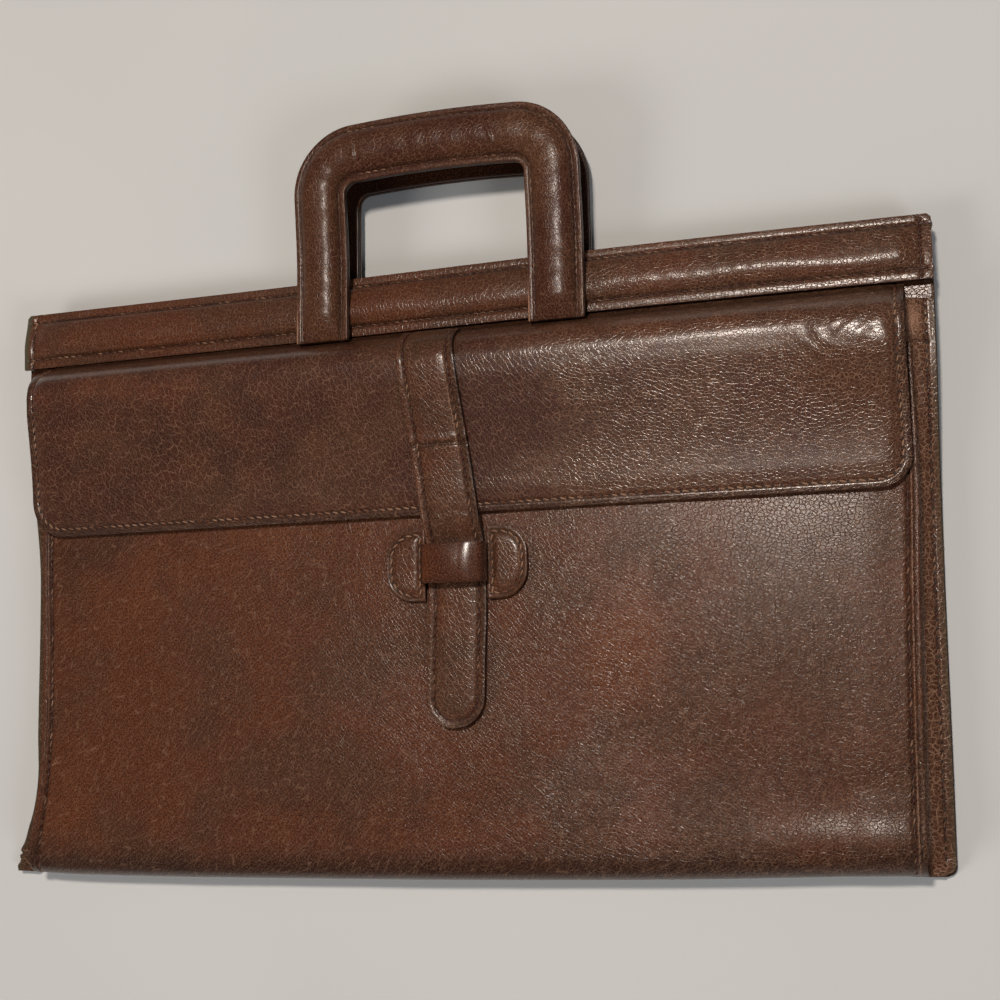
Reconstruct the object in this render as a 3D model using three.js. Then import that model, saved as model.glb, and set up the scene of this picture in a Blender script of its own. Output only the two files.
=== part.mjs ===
// A slim leather document case with two flat hand loops, lying on its back.
// Millimetres, +Z up, X across the case, Y from the bottom fold to the hand loops.
// "up" is a distance above the bottom fold, measured on the case.
import * as THREE from "three";

// Leather and clearances
const ply = 2;
const bandEdgePly = 2.2;
const strapPly = 2.8;
const loopPly = 1.8;
const gap = 0.3;

// Body
const bodyWidth = 410;
const bodyHeight = 256;
const caseDepth = 20;
const frontInset = 13.5;
const frontShift = 2.5;
const mouthDrop = 52;
const foldRadius = 9;
const outlineRadius = 5;
const leftPinch = 4.5;
const gussetPinch = 12;
const gussetDrop = 34;

// Hand loops
const handleWidth = 130;
const handleRise = 67;
const handleCentre = 3.5;
const legWidth = 24;
const barWidth = 26;
const legLap = 3;
const barArch = 3;
const cornerRadius = 16;
const paddingDepth = 6.2;
const flangePly = 1.8;
const backingPly = 1.7;
const barLift = 4;
const endTaper = 12;

// Top band
const bandHeight = 27;
const bandCrown = 2.6;
const rootLap = 7;

// Flap
const flapInset = 10.5;
const flapCentre = 1.5;
const flapHeight = 82;
const flapCorner = 13;
const flapBulge = 8;

// Strap and keeper
const strapWidth = 25;
const strapLength = 166;
const strapTuck = 4;
const keeperDrop = 21;
const keeperCentre = 11;
const tabWidth = 17.5;
const tabHeight = 30;
const tabCorner = 12;
const loopHeight = 17;
const loopCrown = 3.4;
const loopLap = 3;

// Places that follow from the sizes
const bodyBottom = -(bodyHeight + handleRise) / 2;
const frontWidth = bodyWidth - 2 * frontInset;
const flapWidth = bodyWidth - 2 * flapInset;
const mouthUp = bodyHeight - mouthDrop;
const handleDepth = paddingDepth + gap + backingPly;
const topLift = handleDepth + gap;
const bandLow = bodyHeight - bandHeight;
const backTop = topLift + ply;
const flapRootFace = backTop + gap + ply;
const riseStart = bodyHeight * 0.5;
const riseEnd = bodyHeight * 0.8;
const innerDepth = caseDepth - ply - gap;

const leatherBrown = new THREE.Color(0x4f3125);
const darkBrown = new THREE.Color(0x3a2118);

function ease(from, to, value) {
  return THREE.MathUtils.smoothstep(value, from, to);
}

function steps(from, to, count) {
  return Array.from({ length: count + 1 }, (_, i) => from + ((to - from) * i) / count);
}

// Shares of a length that crowd towards a round end, as equal angles of its quarter circle.
function stepsWithRound(length, radius, count, roundCount) {
  const straight = steps(0, 1 - radius / length, count);
  const turn = steps(0, Math.PI / 2, roundCount).slice(1);
  return straight.concat(turn.map((angle) => 1 - (radius / length) * (1 - Math.sin(angle))));
}

// How much narrower a sheet is on each side at a distance from its round-cornered end.
function cornerCut(distance, radius) {
  const into = Math.max(0, radius - distance);
  return radius - Math.sqrt(Math.max(0, radius * radius - into * into));
}

// A closed solid between two faces that are given as functions of the shares u and v.
function solid(us, vs, over, under) {
  const points = [];
  const faces = [];
  const columns = us.length;
  const rows = vs.length;
  for (const face of [over, under]) {
    for (const v of vs) {
      for (const u of us) {
        points.push(...face(u, v));
      }
    }
  }
  const at = (layer, i, j) => layer * columns * rows + j * columns + i;
  const quad = (a, b, c, d) => faces.push(a, b, c, a, c, d);
  for (let j = 0; j + 1 < rows; j += 1) {
    for (let i = 0; i + 1 < columns; i += 1) {
      quad(at(0, i, j), at(0, i + 1, j), at(0, i + 1, j + 1), at(0, i, j + 1));
      quad(at(1, i, j), at(1, i, j + 1), at(1, i + 1, j + 1), at(1, i + 1, j));
    }
  }
  for (let i = 0; i + 1 < columns; i += 1) {
    quad(at(0, i + 1, 0), at(0, i, 0), at(1, i, 0), at(1, i + 1, 0));
    quad(at(0, i, rows - 1), at(0, i + 1, rows - 1), at(1, i + 1, rows - 1), at(1, i, rows - 1));
  }
  for (let j = 0; j + 1 < rows; j += 1) {
    quad(at(0, 0, j), at(0, 0, j + 1), at(1, 0, j + 1), at(1, 0, j));
    quad(at(0, columns - 1, j + 1), at(0, columns - 1, j), at(1, columns - 1, j), at(1, columns - 1, j + 1));
  }
  const geometry = new THREE.BufferGeometry();
  geometry.setAttribute("position", new THREE.Float32BufferAttribute(points, 3));
  geometry.setIndex(faces);
  geometry.computeVertexNormals();
  return geometry;
}

// The face that lies a distance above a given face, measured square to it.
function raised(face, distance) {
  const nudge = 1e-3;
  return (u, v) => {
    const before = new THREE.Vector3(...face(Math.max(0, u - nudge), v));
    const after = new THREE.Vector3(...face(Math.min(1, u + nudge), v));
    const below = new THREE.Vector3(...face(u, Math.max(0, v - nudge)));
    const above = new THREE.Vector3(...face(u, Math.min(1, v + nudge)));
    const normal = after.sub(before).cross(above.sub(below)).normalize();
    return new THREE.Vector3(...face(u, v)).addScaledVector(normal, distance).toArray();
  };
}

// A sheet of leather whose outer face is given, with its inner face a thickness below it.
function sheet(us, vs, outer, thickness) {
  return solid(us, vs, outer, raised(outer, -thickness));
}

function leatherMesh(name, geometry, color = leatherBrown) {
  const material = new THREE.MeshStandardMaterial({ color, roughness: 0.5, metalness: 0 });
  const mesh = new THREE.Mesh(geometry, material);
  mesh.name = name;
  return mesh;
}

const yOf = (up) => bodyBottom + up;

// Underside of the back panel: flat on the ground, then rising over the rear hand loop.
const backUnder = (up) => topLift * ease(riseStart, riseEnd, up);

// Left and right edges of the back panel. The left side is drawn in at mid height.
function backEdge(side, up) {
  const drawnIn = side < 0 ? leftPinch * Math.sin((Math.PI * up) / bodyHeight) ** 2 : 0;
  const toEnd = Math.min(up, bodyHeight - up);
  return side * (bodyWidth / 2 - drawnIn - cornerCut(toEnd, outlineRadius));
}

function backPanel() {
  const corner = stepsWithRound(bodyHeight / 2, outlineRadius, 9, 3).map((share) => share / 2);
  const vs = corner.slice().reverse().map((share) => 0.5 - share);
  vs.push(...corner.slice(1).map((share) => 0.5 + share));
  const face = (raise) => (u, v) => {
    const up = v * bodyHeight;
    const x = THREE.MathUtils.lerp(backEdge(-1, up), backEdge(1, up), u);
    return [x, yOf(up), backUnder(up) + raise];
  };
  return leatherMesh("back_panel", solid(steps(0, 1, 8), vs, face(ply), face(0)));
}

// Front panel: from the mouth down the front, round the bottom fold and down to the back panel.
const foldTurn = (Math.PI / 2) * foldRadius;
const foldWall = caseDepth - foldRadius - ply - gap;
const frontRun = mouthUp - foldRadius + foldTurn + foldWall;

function frontPath(distance) {
  const straight = mouthUp - foldRadius;
  if (distance <= straight) {
    return [mouthUp - distance, caseDepth];
  }
  const turned = distance - straight;
  if (turned <= foldTurn) {
    const angle = turned / foldRadius;
    return [foldRadius * (1 - Math.sin(angle)), caseDepth - foldRadius * (1 - Math.cos(angle))];
  }
  return [0, caseDepth - foldRadius - (turned - foldTurn)];
}

function frontPanel() {
  const straightShare = (mouthUp - foldRadius) / frontRun;
  const foldShare = straightShare + foldTurn / frontRun;
  const vs = steps(0, straightShare, 10)
    .concat(steps(straightShare, foldShare, 6).slice(1))
    .concat(steps(foldShare, 1, 2).slice(1));
  const outer = (u, v) => {
    const [up, z] = frontPath((1 - v) * frontRun);
    return [frontShift + (u - 0.5) * frontWidth, yOf(up), z];
  };
  const fromBottom = vs.map((v) => 1 - v).reverse();
  return leatherMesh("front_panel", sheet(steps(0, 1, 10), fromBottom, outer, ply));
}

// Section of a gusset from the back panel's edge to under the front panel's edge.
// across: share of the way in, height: share of the room between the panels.
const gussetSection = [
  { across: 0.0, height: 0.0 },
  { across: 0.22, height: 0.02 },
  { across: 0.3, height: 0.16 },
  { across: 0.34, height: 0.45 },
  { across: 0.46, height: 0.78 },
  { across: 0.64, height: 0.97 },
  { across: 0.82, height: 1.0 },
  { across: 1.0, height: 1.0 },
];
const gussetFlange = 5;
const gussetTop = bodyHeight - gussetDrop;

function gusset(name, side) {
  const section = new THREE.SplineCurve(
    gussetSection.map((row) => new THREE.Vector2(row.across, row.height)),
  );
  const length = gussetTop - ply - gap;
  const outer = (u, v) => {
    const up = ply + gap + v * length;
    const { x: across, y: height } = section.getPoint(side > 0 ? 1 - u : u);
    const frontEdge = frontShift + side * (frontWidth / 2 - gussetFlange);
    const low = backUnder(up) + ply + gap + ply;
    const intoFold = THREE.MathUtils.clamp((gussetPinch - up) / (gussetPinch - ply), 0, 1);
    const high = THREE.MathUtils.lerp(low, innerDepth, Math.sqrt(1 - intoFold * intoFold));
    return [
      THREE.MathUtils.lerp(backEdge(side, up), frontEdge, across),
      yOf(up),
      THREE.MathUtils.lerp(low, Math.max(low, high), height),
    ];
  };
  const vs = stepsWithRound(length, gussetPinch, 10, 5).map((share) => 1 - share).reverse();
  return leatherMesh(name, sheet(steps(0, 1, 14), vs, outer, ply));
}

// Padded band along the top edge, sewn over the root of the flap.
const bandFace = (share) =>
  THREE.MathUtils.lerp(flapRootFace + gap, backTop + gap, ease(0.3, 1, share)) +
  bandEdgePly +
  bandCrown * Math.sin(Math.PI * share) ** 0.7;

function topBand() {
  const over = (u, v) => {
    const up = bandLow + v * bandHeight;
    const x = THREE.MathUtils.lerp(backEdge(-1, up), backEdge(1, up), u);
    return [x, yOf(up), bandFace(v)];
  };
  const under = (u, v) => {
    const [x, y] = over(u, v);
    const lapped = 1 - ease(rootLap, rootLap + ply, v * bandHeight);
    return [x, y, backTop + gap + (ply + gap) * lapped];
  };
  const lapShare = rootLap / bandHeight;
  const vs = steps(0, lapShare, 2)
    .concat(steps(lapShare, 1 - outlineRadius / bandHeight, 5).slice(1))
    .concat(steps(1 - outlineRadius / bandHeight, 1, 2).slice(1));
  return leatherMesh("top_band", solid(steps(0, 1, 8), vs, over, under));
}

// Flap in side view. down: share of the way from its root to its lower edge,
// height: share of the bulge above the line from root to edge.
const flapRoot = bandLow + rootLap - gap;
const flapRun = flapHeight + rootLap - gap;
const flapEdgeFace = caseDepth + gap + ply;
const flapSection = [
  { down: 0.0, height: 0.0, line: 0.0 },
  { down: 0.08, height: 0.0, line: 0.0 },
  { down: 0.115, height: 0.3, line: 0.2 },
  { down: 0.16, height: 0.78, line: 0.62 },
  { down: 0.24, height: 1.0, line: 0.95 },
  { down: 0.36, height: 0.9, line: 1.0 },
  { down: 0.55, height: 0.5, line: 1.0 },
  { down: 0.75, height: 0.16, line: 1.0 },
  { down: 0.9, height: 0.02, line: 1.0 },
  { down: 1.0, height: 0.0, line: 1.0 },
];
const flapHeights = new THREE.SplineCurve(
  flapSection.map((row) => new THREE.Vector2(row.down, row.height)),
);
const flapLines = new THREE.SplineCurve(
  flapSection.map((row) => new THREE.Vector2(row.down, row.line)),
);

// Height on a curve whose x runs from 0 to 1, read at a given x.
function readCurve(curve, x) {
  let low = 0;
  let high = 1;
  for (let i = 0; i < 24; i += 1) {
    const middle = (low + high) / 2;
    if (curve.getPoint(middle).x < x) {
      low = middle;
    } else {
      high = middle;
    }
  }
  return curve.getPoint(low).y;
}

function flapFace(up) {
  const down = THREE.MathUtils.clamp((flapRoot - up) / flapRun, 0, 1);
  const line = THREE.MathUtils.lerp(flapRootFace, flapEdgeFace, readCurve(flapLines, down));
  return line + flapBulge * readCurve(flapHeights, down);
}

const flapStops = stepsWithRound(flapRun, flapCorner, 20, 6).map((share) => 1 - share).reverse();
const flapEdge = flapRoot - flapRun;

function flap() {
  const outer = (u, v) => {
    const up = flapEdge + v * flapRun;
    const half = flapWidth / 2 - cornerCut(v * flapRun, flapCorner);
    return [flapCentre + (2 * u - 1) * half, yOf(up), flapFace(up)];
  };
  return leatherMesh("flap", sheet(steps(0, 1, 14), flapStops, outer, ply));
}

// Strap: sewn down the flap, then free over its edge and under the keeper.
// along: share of the strap's length, aside: share of its width away from the flap's centre.
const strapLine = new THREE.SplineCurve(
  [
    { along: 0.0, aside: -0.02 },
    { along: 0.3, aside: 0.2 },
    { along: 0.58, aside: 0.38 },
    { along: 0.8, aside: 0.36 },
    { along: 1.0, aside: 0.32 },
  ].map((row) => new THREE.Vector2(row.along, row.aside)),
);
const flapUps = flapStops.map((share) => flapEdge + share * flapRun);
const strapTop = flapUps.filter((up) => up <= bandLow - strapTuck).pop();
const strapEnd = strapTop - strapLength;
const stepDown = 12;

function strapUnder(up) {
  const onFlap = flapFace(Math.max(up, flapEdge)) + gap;
  const onFront = caseDepth + gap;
  return THREE.MathUtils.lerp(onFront, onFlap, ease(flapEdge - stepDown, flapEdge - 1, up));
}

// The strap has a row of points wherever the flap under it has one.
function strapStops() {
  const free = flapEdge - 1 - strapEnd;
  const onFront = stepsWithRound(free, strapWidth / 2, 14, 6).map((share) => strapEnd + (1 - share) * free);
  const onFlap = flapUps.filter((up) => up <= strapTop);
  return onFront.reverse().concat(onFlap).map((up) => (up - strapEnd) / strapLength);
}

function closureStrap() {
  const under = (u, v) => {
    const up = strapEnd + v * strapLength;
    const half = strapWidth / 2 - cornerCut(v * strapLength, strapWidth / 2);
    const centre = flapCentre + strapWidth * readCurve(strapLine, 1 - v);
    return [centre + (2 * u - 1) * half, yOf(up), strapUnder(up)];
  };
  return leatherMesh("closure_strap", solid(steps(0, 1, 4), strapStops(), raised(under, strapPly), under));
}

// Keeper: a round-ended tab on each side of the strap and a loop across it.
const tabInner = strapWidth / 2 + 1;
const keeperUp = flapEdge - keeperDrop;

function keeperTab(name, side) {
  const half = tabHeight / 2;
  const straight = tabWidth - tabCorner;
  const outline = new THREE.Shape();
  outline.moveTo(0, -half);
  outline.lineTo(straight, -half);
  outline.absarc(straight, -half + tabCorner, tabCorner, -Math.PI / 2, 0, false);
  outline.lineTo(tabWidth, half - tabCorner);
  outline.absarc(straight, half - tabCorner, tabCorner, 0, Math.PI / 2, false);
  outline.lineTo(0, half);
  outline.closePath();
  const geometry = new THREE.ExtrudeGeometry(outline, { depth: ply, bevelEnabled: false, curveSegments: 6 });
  const mesh = leatherMesh(name, geometry);
  mesh.rotation.z = side > 0 ? 0 : Math.PI;
  mesh.position.set(keeperCentre + side * tabInner, yOf(keeperUp), caseDepth + gap);
  return mesh;
}

function keeperLoop() {
  const seat = caseDepth + gap + ply + gap;
  const half = tabInner + loopLap;
  const under = (u, v) => {
    const x = (2 * u - 1) * half;
    const arched = Math.sqrt(Math.max(0, 1 - (x / tabInner) ** 2));
    return [keeperCentre + x, yOf(keeperUp) + (v - 0.5) * loopHeight, seat + loopCrown * arched];
  };
  const lap = loopLap / (2 * half);
  const arch = steps(0, Math.PI, 12).map((angle) => 0.5 - (0.5 - lap) * Math.cos(angle));
  const us = [0, ...arch, 1];
  const over = (u, v) => {
    const [x, y, z] = under(u, v);
    return [x, y, z + loopPly];
  };
  return leatherMesh("keeper_loop", solid(us, steps(0, 1, 2), over, under), darkBrown);
}

// Centre line of a hand loop: up one leg, round a corner, along the bar and down the other leg.
const legSide = handleWidth / 2 - legWidth / 2;
const barUp = bodyHeight + handleRise - barWidth / 2 - barArch;
const legRun = barUp - cornerRadius - bandLow + legLap;
const barRun = 2 * (legSide - cornerRadius);
const turnRun = (Math.PI / 2) * cornerRadius;

function handleHalf(distance) {
  const fromBar = Math.max(0, Math.abs(distance) - barRun / 2);
  if (fromBar < turnRun) {
    const angle = fromBar / cornerRadius;
    const side = distance < 0 ? -1 : 1;
    const arch = barArch * Math.cos((Math.PI * distance) / (barRun + 2 * turnRun));
    const x = Math.min(Math.abs(distance), barRun / 2) + cornerRadius * Math.sin(angle);
    return {
      x: side * x,
      up: barUp + arch - cornerRadius * (1 - Math.cos(angle)),
      across: [side * Math.sin(angle), Math.cos(angle)],
      half: THREE.MathUtils.lerp(barWidth, legWidth, ease(0, turnRun, fromBar)) / 2,
    };
  }
  const side = distance < 0 ? -1 : 1;
  return {
    x: side * legSide,
    up: barUp - cornerRadius - (fromBar - turnRun),
    across: [side, 0],
    half: legWidth / 2,
  };
}

const handleRun = 2 * (legRun + turnRun) + barRun;
const handleStops = steps(-handleRun / 2, -barRun / 2 - turnRun, 8)
  .concat(steps(-barRun / 2 - turnRun, -barRun / 2, 7).slice(1))
  .concat(steps(-barRun / 2, barRun / 2, 8).slice(1))
  .concat(steps(barRun / 2, barRun / 2 + turnRun, 7).slice(1))
  .concat(steps(barRun / 2 + turnRun, handleRun / 2, 8).slice(1))
  .map((distance) => distance / handleRun + 0.5);

// Each hand loop lies flat: zOf gives the height of a face above the ground for a share of
// its padding, the distance from the end of its leg and the height on the case.
function handleFace(zOf) {
  return (u, v) => {
    const distance = (v - 0.5) * handleRun;
    const { x, up, across, half } = handleHalf(distance);
    const toSide = (1 - 2 * u) * half;
    const fromEnd = handleRun / 2 - Math.abs(distance);
    return [handleCentre + x + across[0] * toSide, yOf(up + across[1] * toSide), zOf(u, fromEnd, up)];
  };
}

const domed = (u, fromEnd) =>
  flangePly +
  (paddingDepth - flangePly) * Math.sin(Math.PI * u) ** 0.6 * Math.sqrt(ease(0, endTaper, fromEnd));

function frontHandle() {
  const seat = (up) => bandFace(0.5) + gap + barLift * ease(bodyHeight, barUp, up);
  const cover = solid(
    steps(0, 1, 8),
    handleStops,
    handleFace((u, fromEnd, up) => seat(up) + backingPly + gap + domed(u, fromEnd)),
    handleFace((u, fromEnd, up) => seat(up) + backingPly + gap),
  );
  const backing = solid(
    [0, 0.5, 1],
    handleStops,
    handleFace((u, fromEnd, up) => seat(up) + backingPly),
    handleFace((u, fromEnd, up) => seat(up)),
  );
  return [leatherMesh("front_handle", cover), leatherMesh("front_handle_backing", backing, darkBrown)];
}

function rearHandle() {
  const cover = solid(
    steps(0, 1, 8),
    handleStops,
    handleFace(() => paddingDepth),
    handleFace((u, fromEnd) => paddingDepth - domed(u, fromEnd)),
  );
  const backing = solid(
    [0, 0.5, 1],
    handleStops,
    handleFace(() => handleDepth),
    handleFace(() => paddingDepth + gap),
  );
  return [leatherMesh("rear_handle", cover), leatherMesh("rear_handle_backing", backing, darkBrown)];
}

const shell = new THREE.Group();
shell.add(backPanel(), frontPanel(), gusset("gusset_left", -1), gusset("gusset_right", 1));

const closure = new THREE.Group();
closure.add(flap(), closureStrap(), keeperTab("keeper_tab_left", -1), keeperTab("keeper_tab_right", 1));
closure.add(keeperLoop());

const handles = new THREE.Group();
handles.add(topBand(), ...frontHandle(), ...rearHandle());

const documentCase = new THREE.Group();
documentCase.add(shell, closure, handles);

export default documentCase;
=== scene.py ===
import math
from functools import partial

import bpy
import numpy as np
from mathutils import Matrix, Vector


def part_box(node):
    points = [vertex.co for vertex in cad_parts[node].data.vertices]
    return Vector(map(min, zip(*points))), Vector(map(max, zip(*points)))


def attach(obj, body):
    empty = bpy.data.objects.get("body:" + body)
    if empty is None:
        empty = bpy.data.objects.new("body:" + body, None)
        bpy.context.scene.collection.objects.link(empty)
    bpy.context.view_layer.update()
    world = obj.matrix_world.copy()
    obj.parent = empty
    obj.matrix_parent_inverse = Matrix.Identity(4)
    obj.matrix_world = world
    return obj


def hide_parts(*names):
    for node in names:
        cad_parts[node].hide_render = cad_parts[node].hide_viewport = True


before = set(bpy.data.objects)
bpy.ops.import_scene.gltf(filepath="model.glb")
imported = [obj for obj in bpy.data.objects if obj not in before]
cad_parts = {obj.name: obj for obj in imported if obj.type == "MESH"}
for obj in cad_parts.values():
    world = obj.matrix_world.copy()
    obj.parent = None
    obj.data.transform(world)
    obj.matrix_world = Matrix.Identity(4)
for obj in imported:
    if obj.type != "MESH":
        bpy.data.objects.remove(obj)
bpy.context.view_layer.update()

bl_info = {
    "name": "Leather document case",
    "version": (1, 0, 0),
    "blender": (4, 5, 0),
    "location": "3D View > Sidebar > Document Case",
    "description": "Makes a worn leather document case, its stitching and its stage around the frame",
    "category": "Add Mesh",
}

MM = 0.001


def box_mm(node):
    """Lowest and highest corner of a node of the frame, in millimetres."""
    low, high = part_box(node)
    return np.array(low) / MM, np.array(high) / MM


BACK_LOW, BACK_HIGH = box_mm("back_panel")
FRONT_LOW, FRONT_HIGH = box_mm("front_panel")
FLAP_LOW, FLAP_HIGH = box_mm("flap")
BAND_LOW, BAND_HIGH = box_mm("top_band")
HANDLE_LOW, HANDLE_HIGH = box_mm("front_handle")
BACKING_LOW = box_mm("front_handle_backing")[0]
REAR_LOW, REAR_HIGH = box_mm("rear_handle")
REAR_BACKING_LOW, REAR_BACKING_HIGH = box_mm("rear_handle_backing")
STRAP_LOW, STRAP_HIGH = box_mm("closure_strap")
TAB_LOW, TAB_HIGH = box_mm("keeper_tab_left")
TAB_RIGHT_LOW, TAB_RIGHT_HIGH = box_mm("keeper_tab_right")
LOOP_LOW, LOOP_HIGH = box_mm("keeper_loop")
GUSSET_HIGH = box_mm("gusset_right")[1]

BOTTOM = BACK_LOW[1]
TOP = BACK_HIGH[1]
BODY_HEIGHT = TOP - BOTTOM
FRONT_FACE = FRONT_HIGH[2]
FRONT_MIDDLE = (FRONT_LOW[0] + FRONT_HIGH[0]) / 2
FRONT_HALF = (FRONT_HIGH[0] - FRONT_LOW[0]) / 2
MOUTH = FRONT_HIGH[1]
HANDLE_MIDDLE = (HANDLE_LOW[0] + HANDLE_HIGH[0]) / 2

# Air between the pieces, one ply, the least distance of two rows or columns and the height of a seam's
# line, in mm, and the slant of its stitches in degrees.
GAP = 0.3
PLY = 2.0
LEAST_STEP = 0.28
STITCH_LIFT = 0.25
STITCH_SLANT = 16
# Height of a stitch, and length, width and depth of its awl hole, as shares of the thread's thickness.
STITCH_HEIGHT = 0.8
HOLE = (1.9, 1.6, 0.2)


def size_row(name, description, metres):
    return bpy.props.FloatProperty(name=name, description=description, default=metres, unit="LENGTH")


def colour_row(name, description, value):
    return bpy.props.StringProperty(name=name, description=description, default=value)


class CaseSizes(bpy.types.PropertyGroup):
    """Sizes of the leatherwork, in metres."""

    ply: size_row("Leather", "Thickness of one ply of leather", 0.002)
    strap_ply: size_row("Strap", "Thickness of the strap", 0.0028)
    loop_ply: size_row("Keeper loop", "Thickness of the keeper's loop", 0.0018)
    edge_round: size_row("Edge rounding", "Radius left on a cut edge by sanding and paint", 0.0005)
    stitch_length: size_row("Stitch", "Visible length of one stitch", 0.0028)
    stitch_pitch: size_row("Stitch pitch", "Distance from stitch to stitch", 0.0036)
    thread: size_row("Thread", "Thickness of the sewing thread", 0.00075)
    seam_depth: size_row("Seam depth", "How deep a seam pulls the leather in", 0.0006)


class CaseColours(bpy.types.PropertyGroup):
    """Colours of the leather, thread and edge paint, as sRGB hex values."""

    mid: colour_row("Brown", "Main colour of the leather", "#58290f")
    deep: colour_row("Deep brown", "Main colour of the flap and the hand loops", "#3a1004")
    # The dark brown is also laid as painted shade: on the backings, the rear loop, the bottom fold, the
    # left gusset, the tab's crease, the strap's right rim, the keeper's tucked ends and the flap's root.
    dark: colour_row("Dark brown", "Darker dye in the hollows", "#1a0803")
    red: colour_row("Red brown", "Rubbed, redder places", "#6a3310")
    grey: colour_row("Grey brown", "Dulled, greyer places", "#4a2814")
    vein: colour_row("Veins", "Fine lighter lines of the grain", "#7e5f4b")
    # The rubbed colour also paints highlights and sheen: on the legs' edges, the strap, the right tab, the
    # band's lip, the gusset's tab, the right gusset and the front's right edge and lower right corner.
    worn: colour_row("Rubbed edge", "Leather rubbed pale on an edge", "#a98168")
    raw: colour_row("Raw leather", "Bare cut leather, dulled", "#4a4433")
    thread: colour_row("Thread", "Sewing thread", "#8f6d55")
    paint: colour_row("Edge paint", "Painted cut edges", "#1a0f0a")
    floor: colour_row("Floor", "Pale floor", "#c2c4c3")
    floor_clouds: colour_row("Floor clouds", "Slightly paler clouds on the floor", "#c9cac9")


def srgb(text):
    """An sRGB hex value as linear red, green, blue and alpha."""
    parts = [int(text[i:i + 2], 16) / 255 for i in (1, 3, 5)]
    return [c / 12.92 if c <= 0.04045 else ((c + 0.055) / 1.055) ** 2.4 for c in parts] + [1.0]


def sizes():
    return bpy.context.scene.case_sizes


def colours():
    return bpy.context.scene.case_colours


# Shape helpers: every length is in millimetres until it is laid on a grid.

def ease(start, end, value):
    """0 up to the start and 1 from the end on, smooth between them."""
    share = np.clip((np.asarray(value, float) - start) / (end - start), 0, 1)
    return share * share * (3 - 2 * share)


def hump(value, middle, width):
    """A smooth hump of height 1 round a middle."""
    return np.exp(-(((np.asarray(value, float) - middle) / width) ** 2))


def read_table(rows, column, shares):
    """A column of a table of sections, read smoothly at the given shares of its first column."""
    keys = np.array([row[0] for row in rows], float)
    values = np.array([row[column] for row in rows], float)
    slopes = np.gradient(values, keys)
    shares = np.clip(np.asarray(shares, float), keys[0], keys[-1])
    index = np.clip(np.searchsorted(keys, shares, side="right") - 1, 0, len(keys) - 2)
    span = keys[index + 1] - keys[index]
    t = (shares - keys[index]) / span
    start, end = values[index], values[index + 1]
    leave, arrive = slopes[index] * span, slopes[index + 1] * span
    return (start * (2 * t ** 3 - 3 * t ** 2 + 1) + leave * (t ** 3 - 2 * t ** 2 + t)
            + end * (3 * t ** 2 - 2 * t ** 3) + arrive * (t ** 3 - t ** 2))


def corner_cut(distance, radius):
    """How much narrower a sheet is at a distance from its end, where its corners are round."""
    into = np.clip(radius - np.asarray(distance, float), 0, radius)
    return radius - np.sqrt(np.maximum(radius ** 2 - into ** 2, 0))


def lines_at(length, step, seams=(), spread=(0.35, 0.75, 1.3, 2.2), ends=()):
    """Places for rows or columns: even steps, with close ones along each seam and near an end."""
    places = set(np.round(np.linspace(0, length, int(round(length / step)) + 1), 3))
    for seam in seams:
        places.update(round(seam + side * offset, 3) for offset in (0,) + spread for side in (-1, 1))
    places.update(round(place, 3) for place in ends)
    kept = [0.0]
    for place in sorted(p for p in places if 0 < p < length):
        if place - kept[-1] > LEAST_STEP:
            kept.append(place)
    if length - kept[-1] < LEAST_STEP:
        kept.pop()
    return np.array(kept + [length])


def across_sheet(edge, y, share):
    """Place across a sheet whose left and right edges a function gives."""
    left, right = edge(-1, y), edge(1, y)
    return left + (right - left) * share


def swell(x, y):
    """Slow unevenness of the soft front, up to about a millimetre."""
    return (0.45 * np.sin(x / 51 + 0.6) * np.cos(y / 43 + 0.3) + 0.3 * np.sin((x + 1.4 * y) / 37)
            + 0.18 * np.sin((1.7 * x - y) / 23 + 1.1))


def seam_pull(distance):
    """Depth of the groove that a seam pulls into the leather, at a distance from its line."""
    return sizes().seam_depth / MM * hump(distance, 0, 0.75)


# Soft brown mottling of the case, where the leather is rubbed redder or is darker.
# x, y: place on the case, wide, high: reach, all in millimetres, and how strong each is.
PATCHES = [
    {"x": 83, "y": -70, "wide": 20, "high": 30, "red": 1.0, "dark": 0.0},
    {"x": 110, "y": -62, "wide": 16, "high": 14, "red": 0.3, "dark": 0.3},
    {"x": 76, "y": -128, "wide": 26, "high": 12, "red": 0.2, "dark": 0.1},
    {"x": -140, "y": -43, "wide": 34, "high": 26, "red": 0.35, "dark": 0.0},
    {"x": -165, "y": -22, "wide": 20, "high": 12, "red": 0.1, "dark": 0.5},
    {"x": -176, "y": -134, "wide": 24, "high": 26, "red": 0.5, "dark": 0.1},
    {"x": -60, "y": -20, "wide": 45, "high": 12, "red": 0.5, "dark": 0.1},
    {"x": -20, "y": -140, "wide": 110, "high": 13, "red": 0.35, "dark": 0.3},
    {"x": 165, "y": -156, "wide": 34, "high": 5, "red": 0.8, "dark": 0.0},
    {"x": 150, "y": -118, "wide": 44, "high": 16, "red": 0.0, "dark": 0.45},
    {"x": -120, "y": 22, "wide": 80, "high": 34, "red": 0.35, "dark": 0.45},
    {"x": -150, "y": 50, "wide": 60, "high": 10, "red": 0.4, "dark": 0.0},
    {"x": 75, "y": 28, "wide": 60, "high": 22, "red": 0.0, "dark": 0.35},
    {"x": 110, "y": 56, "wide": 60, "high": 8, "red": 0.6, "dark": 0.2},
]

# Soft pale scratches: both ends and the width on the case, in millimetres, and how pale each is.
SCRATCHES = [
    {"from": (-182.0, -116.5), "to": (-154.0, -107.5), "wide": 1.1, "pale": 0.5},
    {"from": (-106.8, 12.3), "to": (-105.4, 12.8), "wide": 0.7, "pale": 0.8},
]


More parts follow.
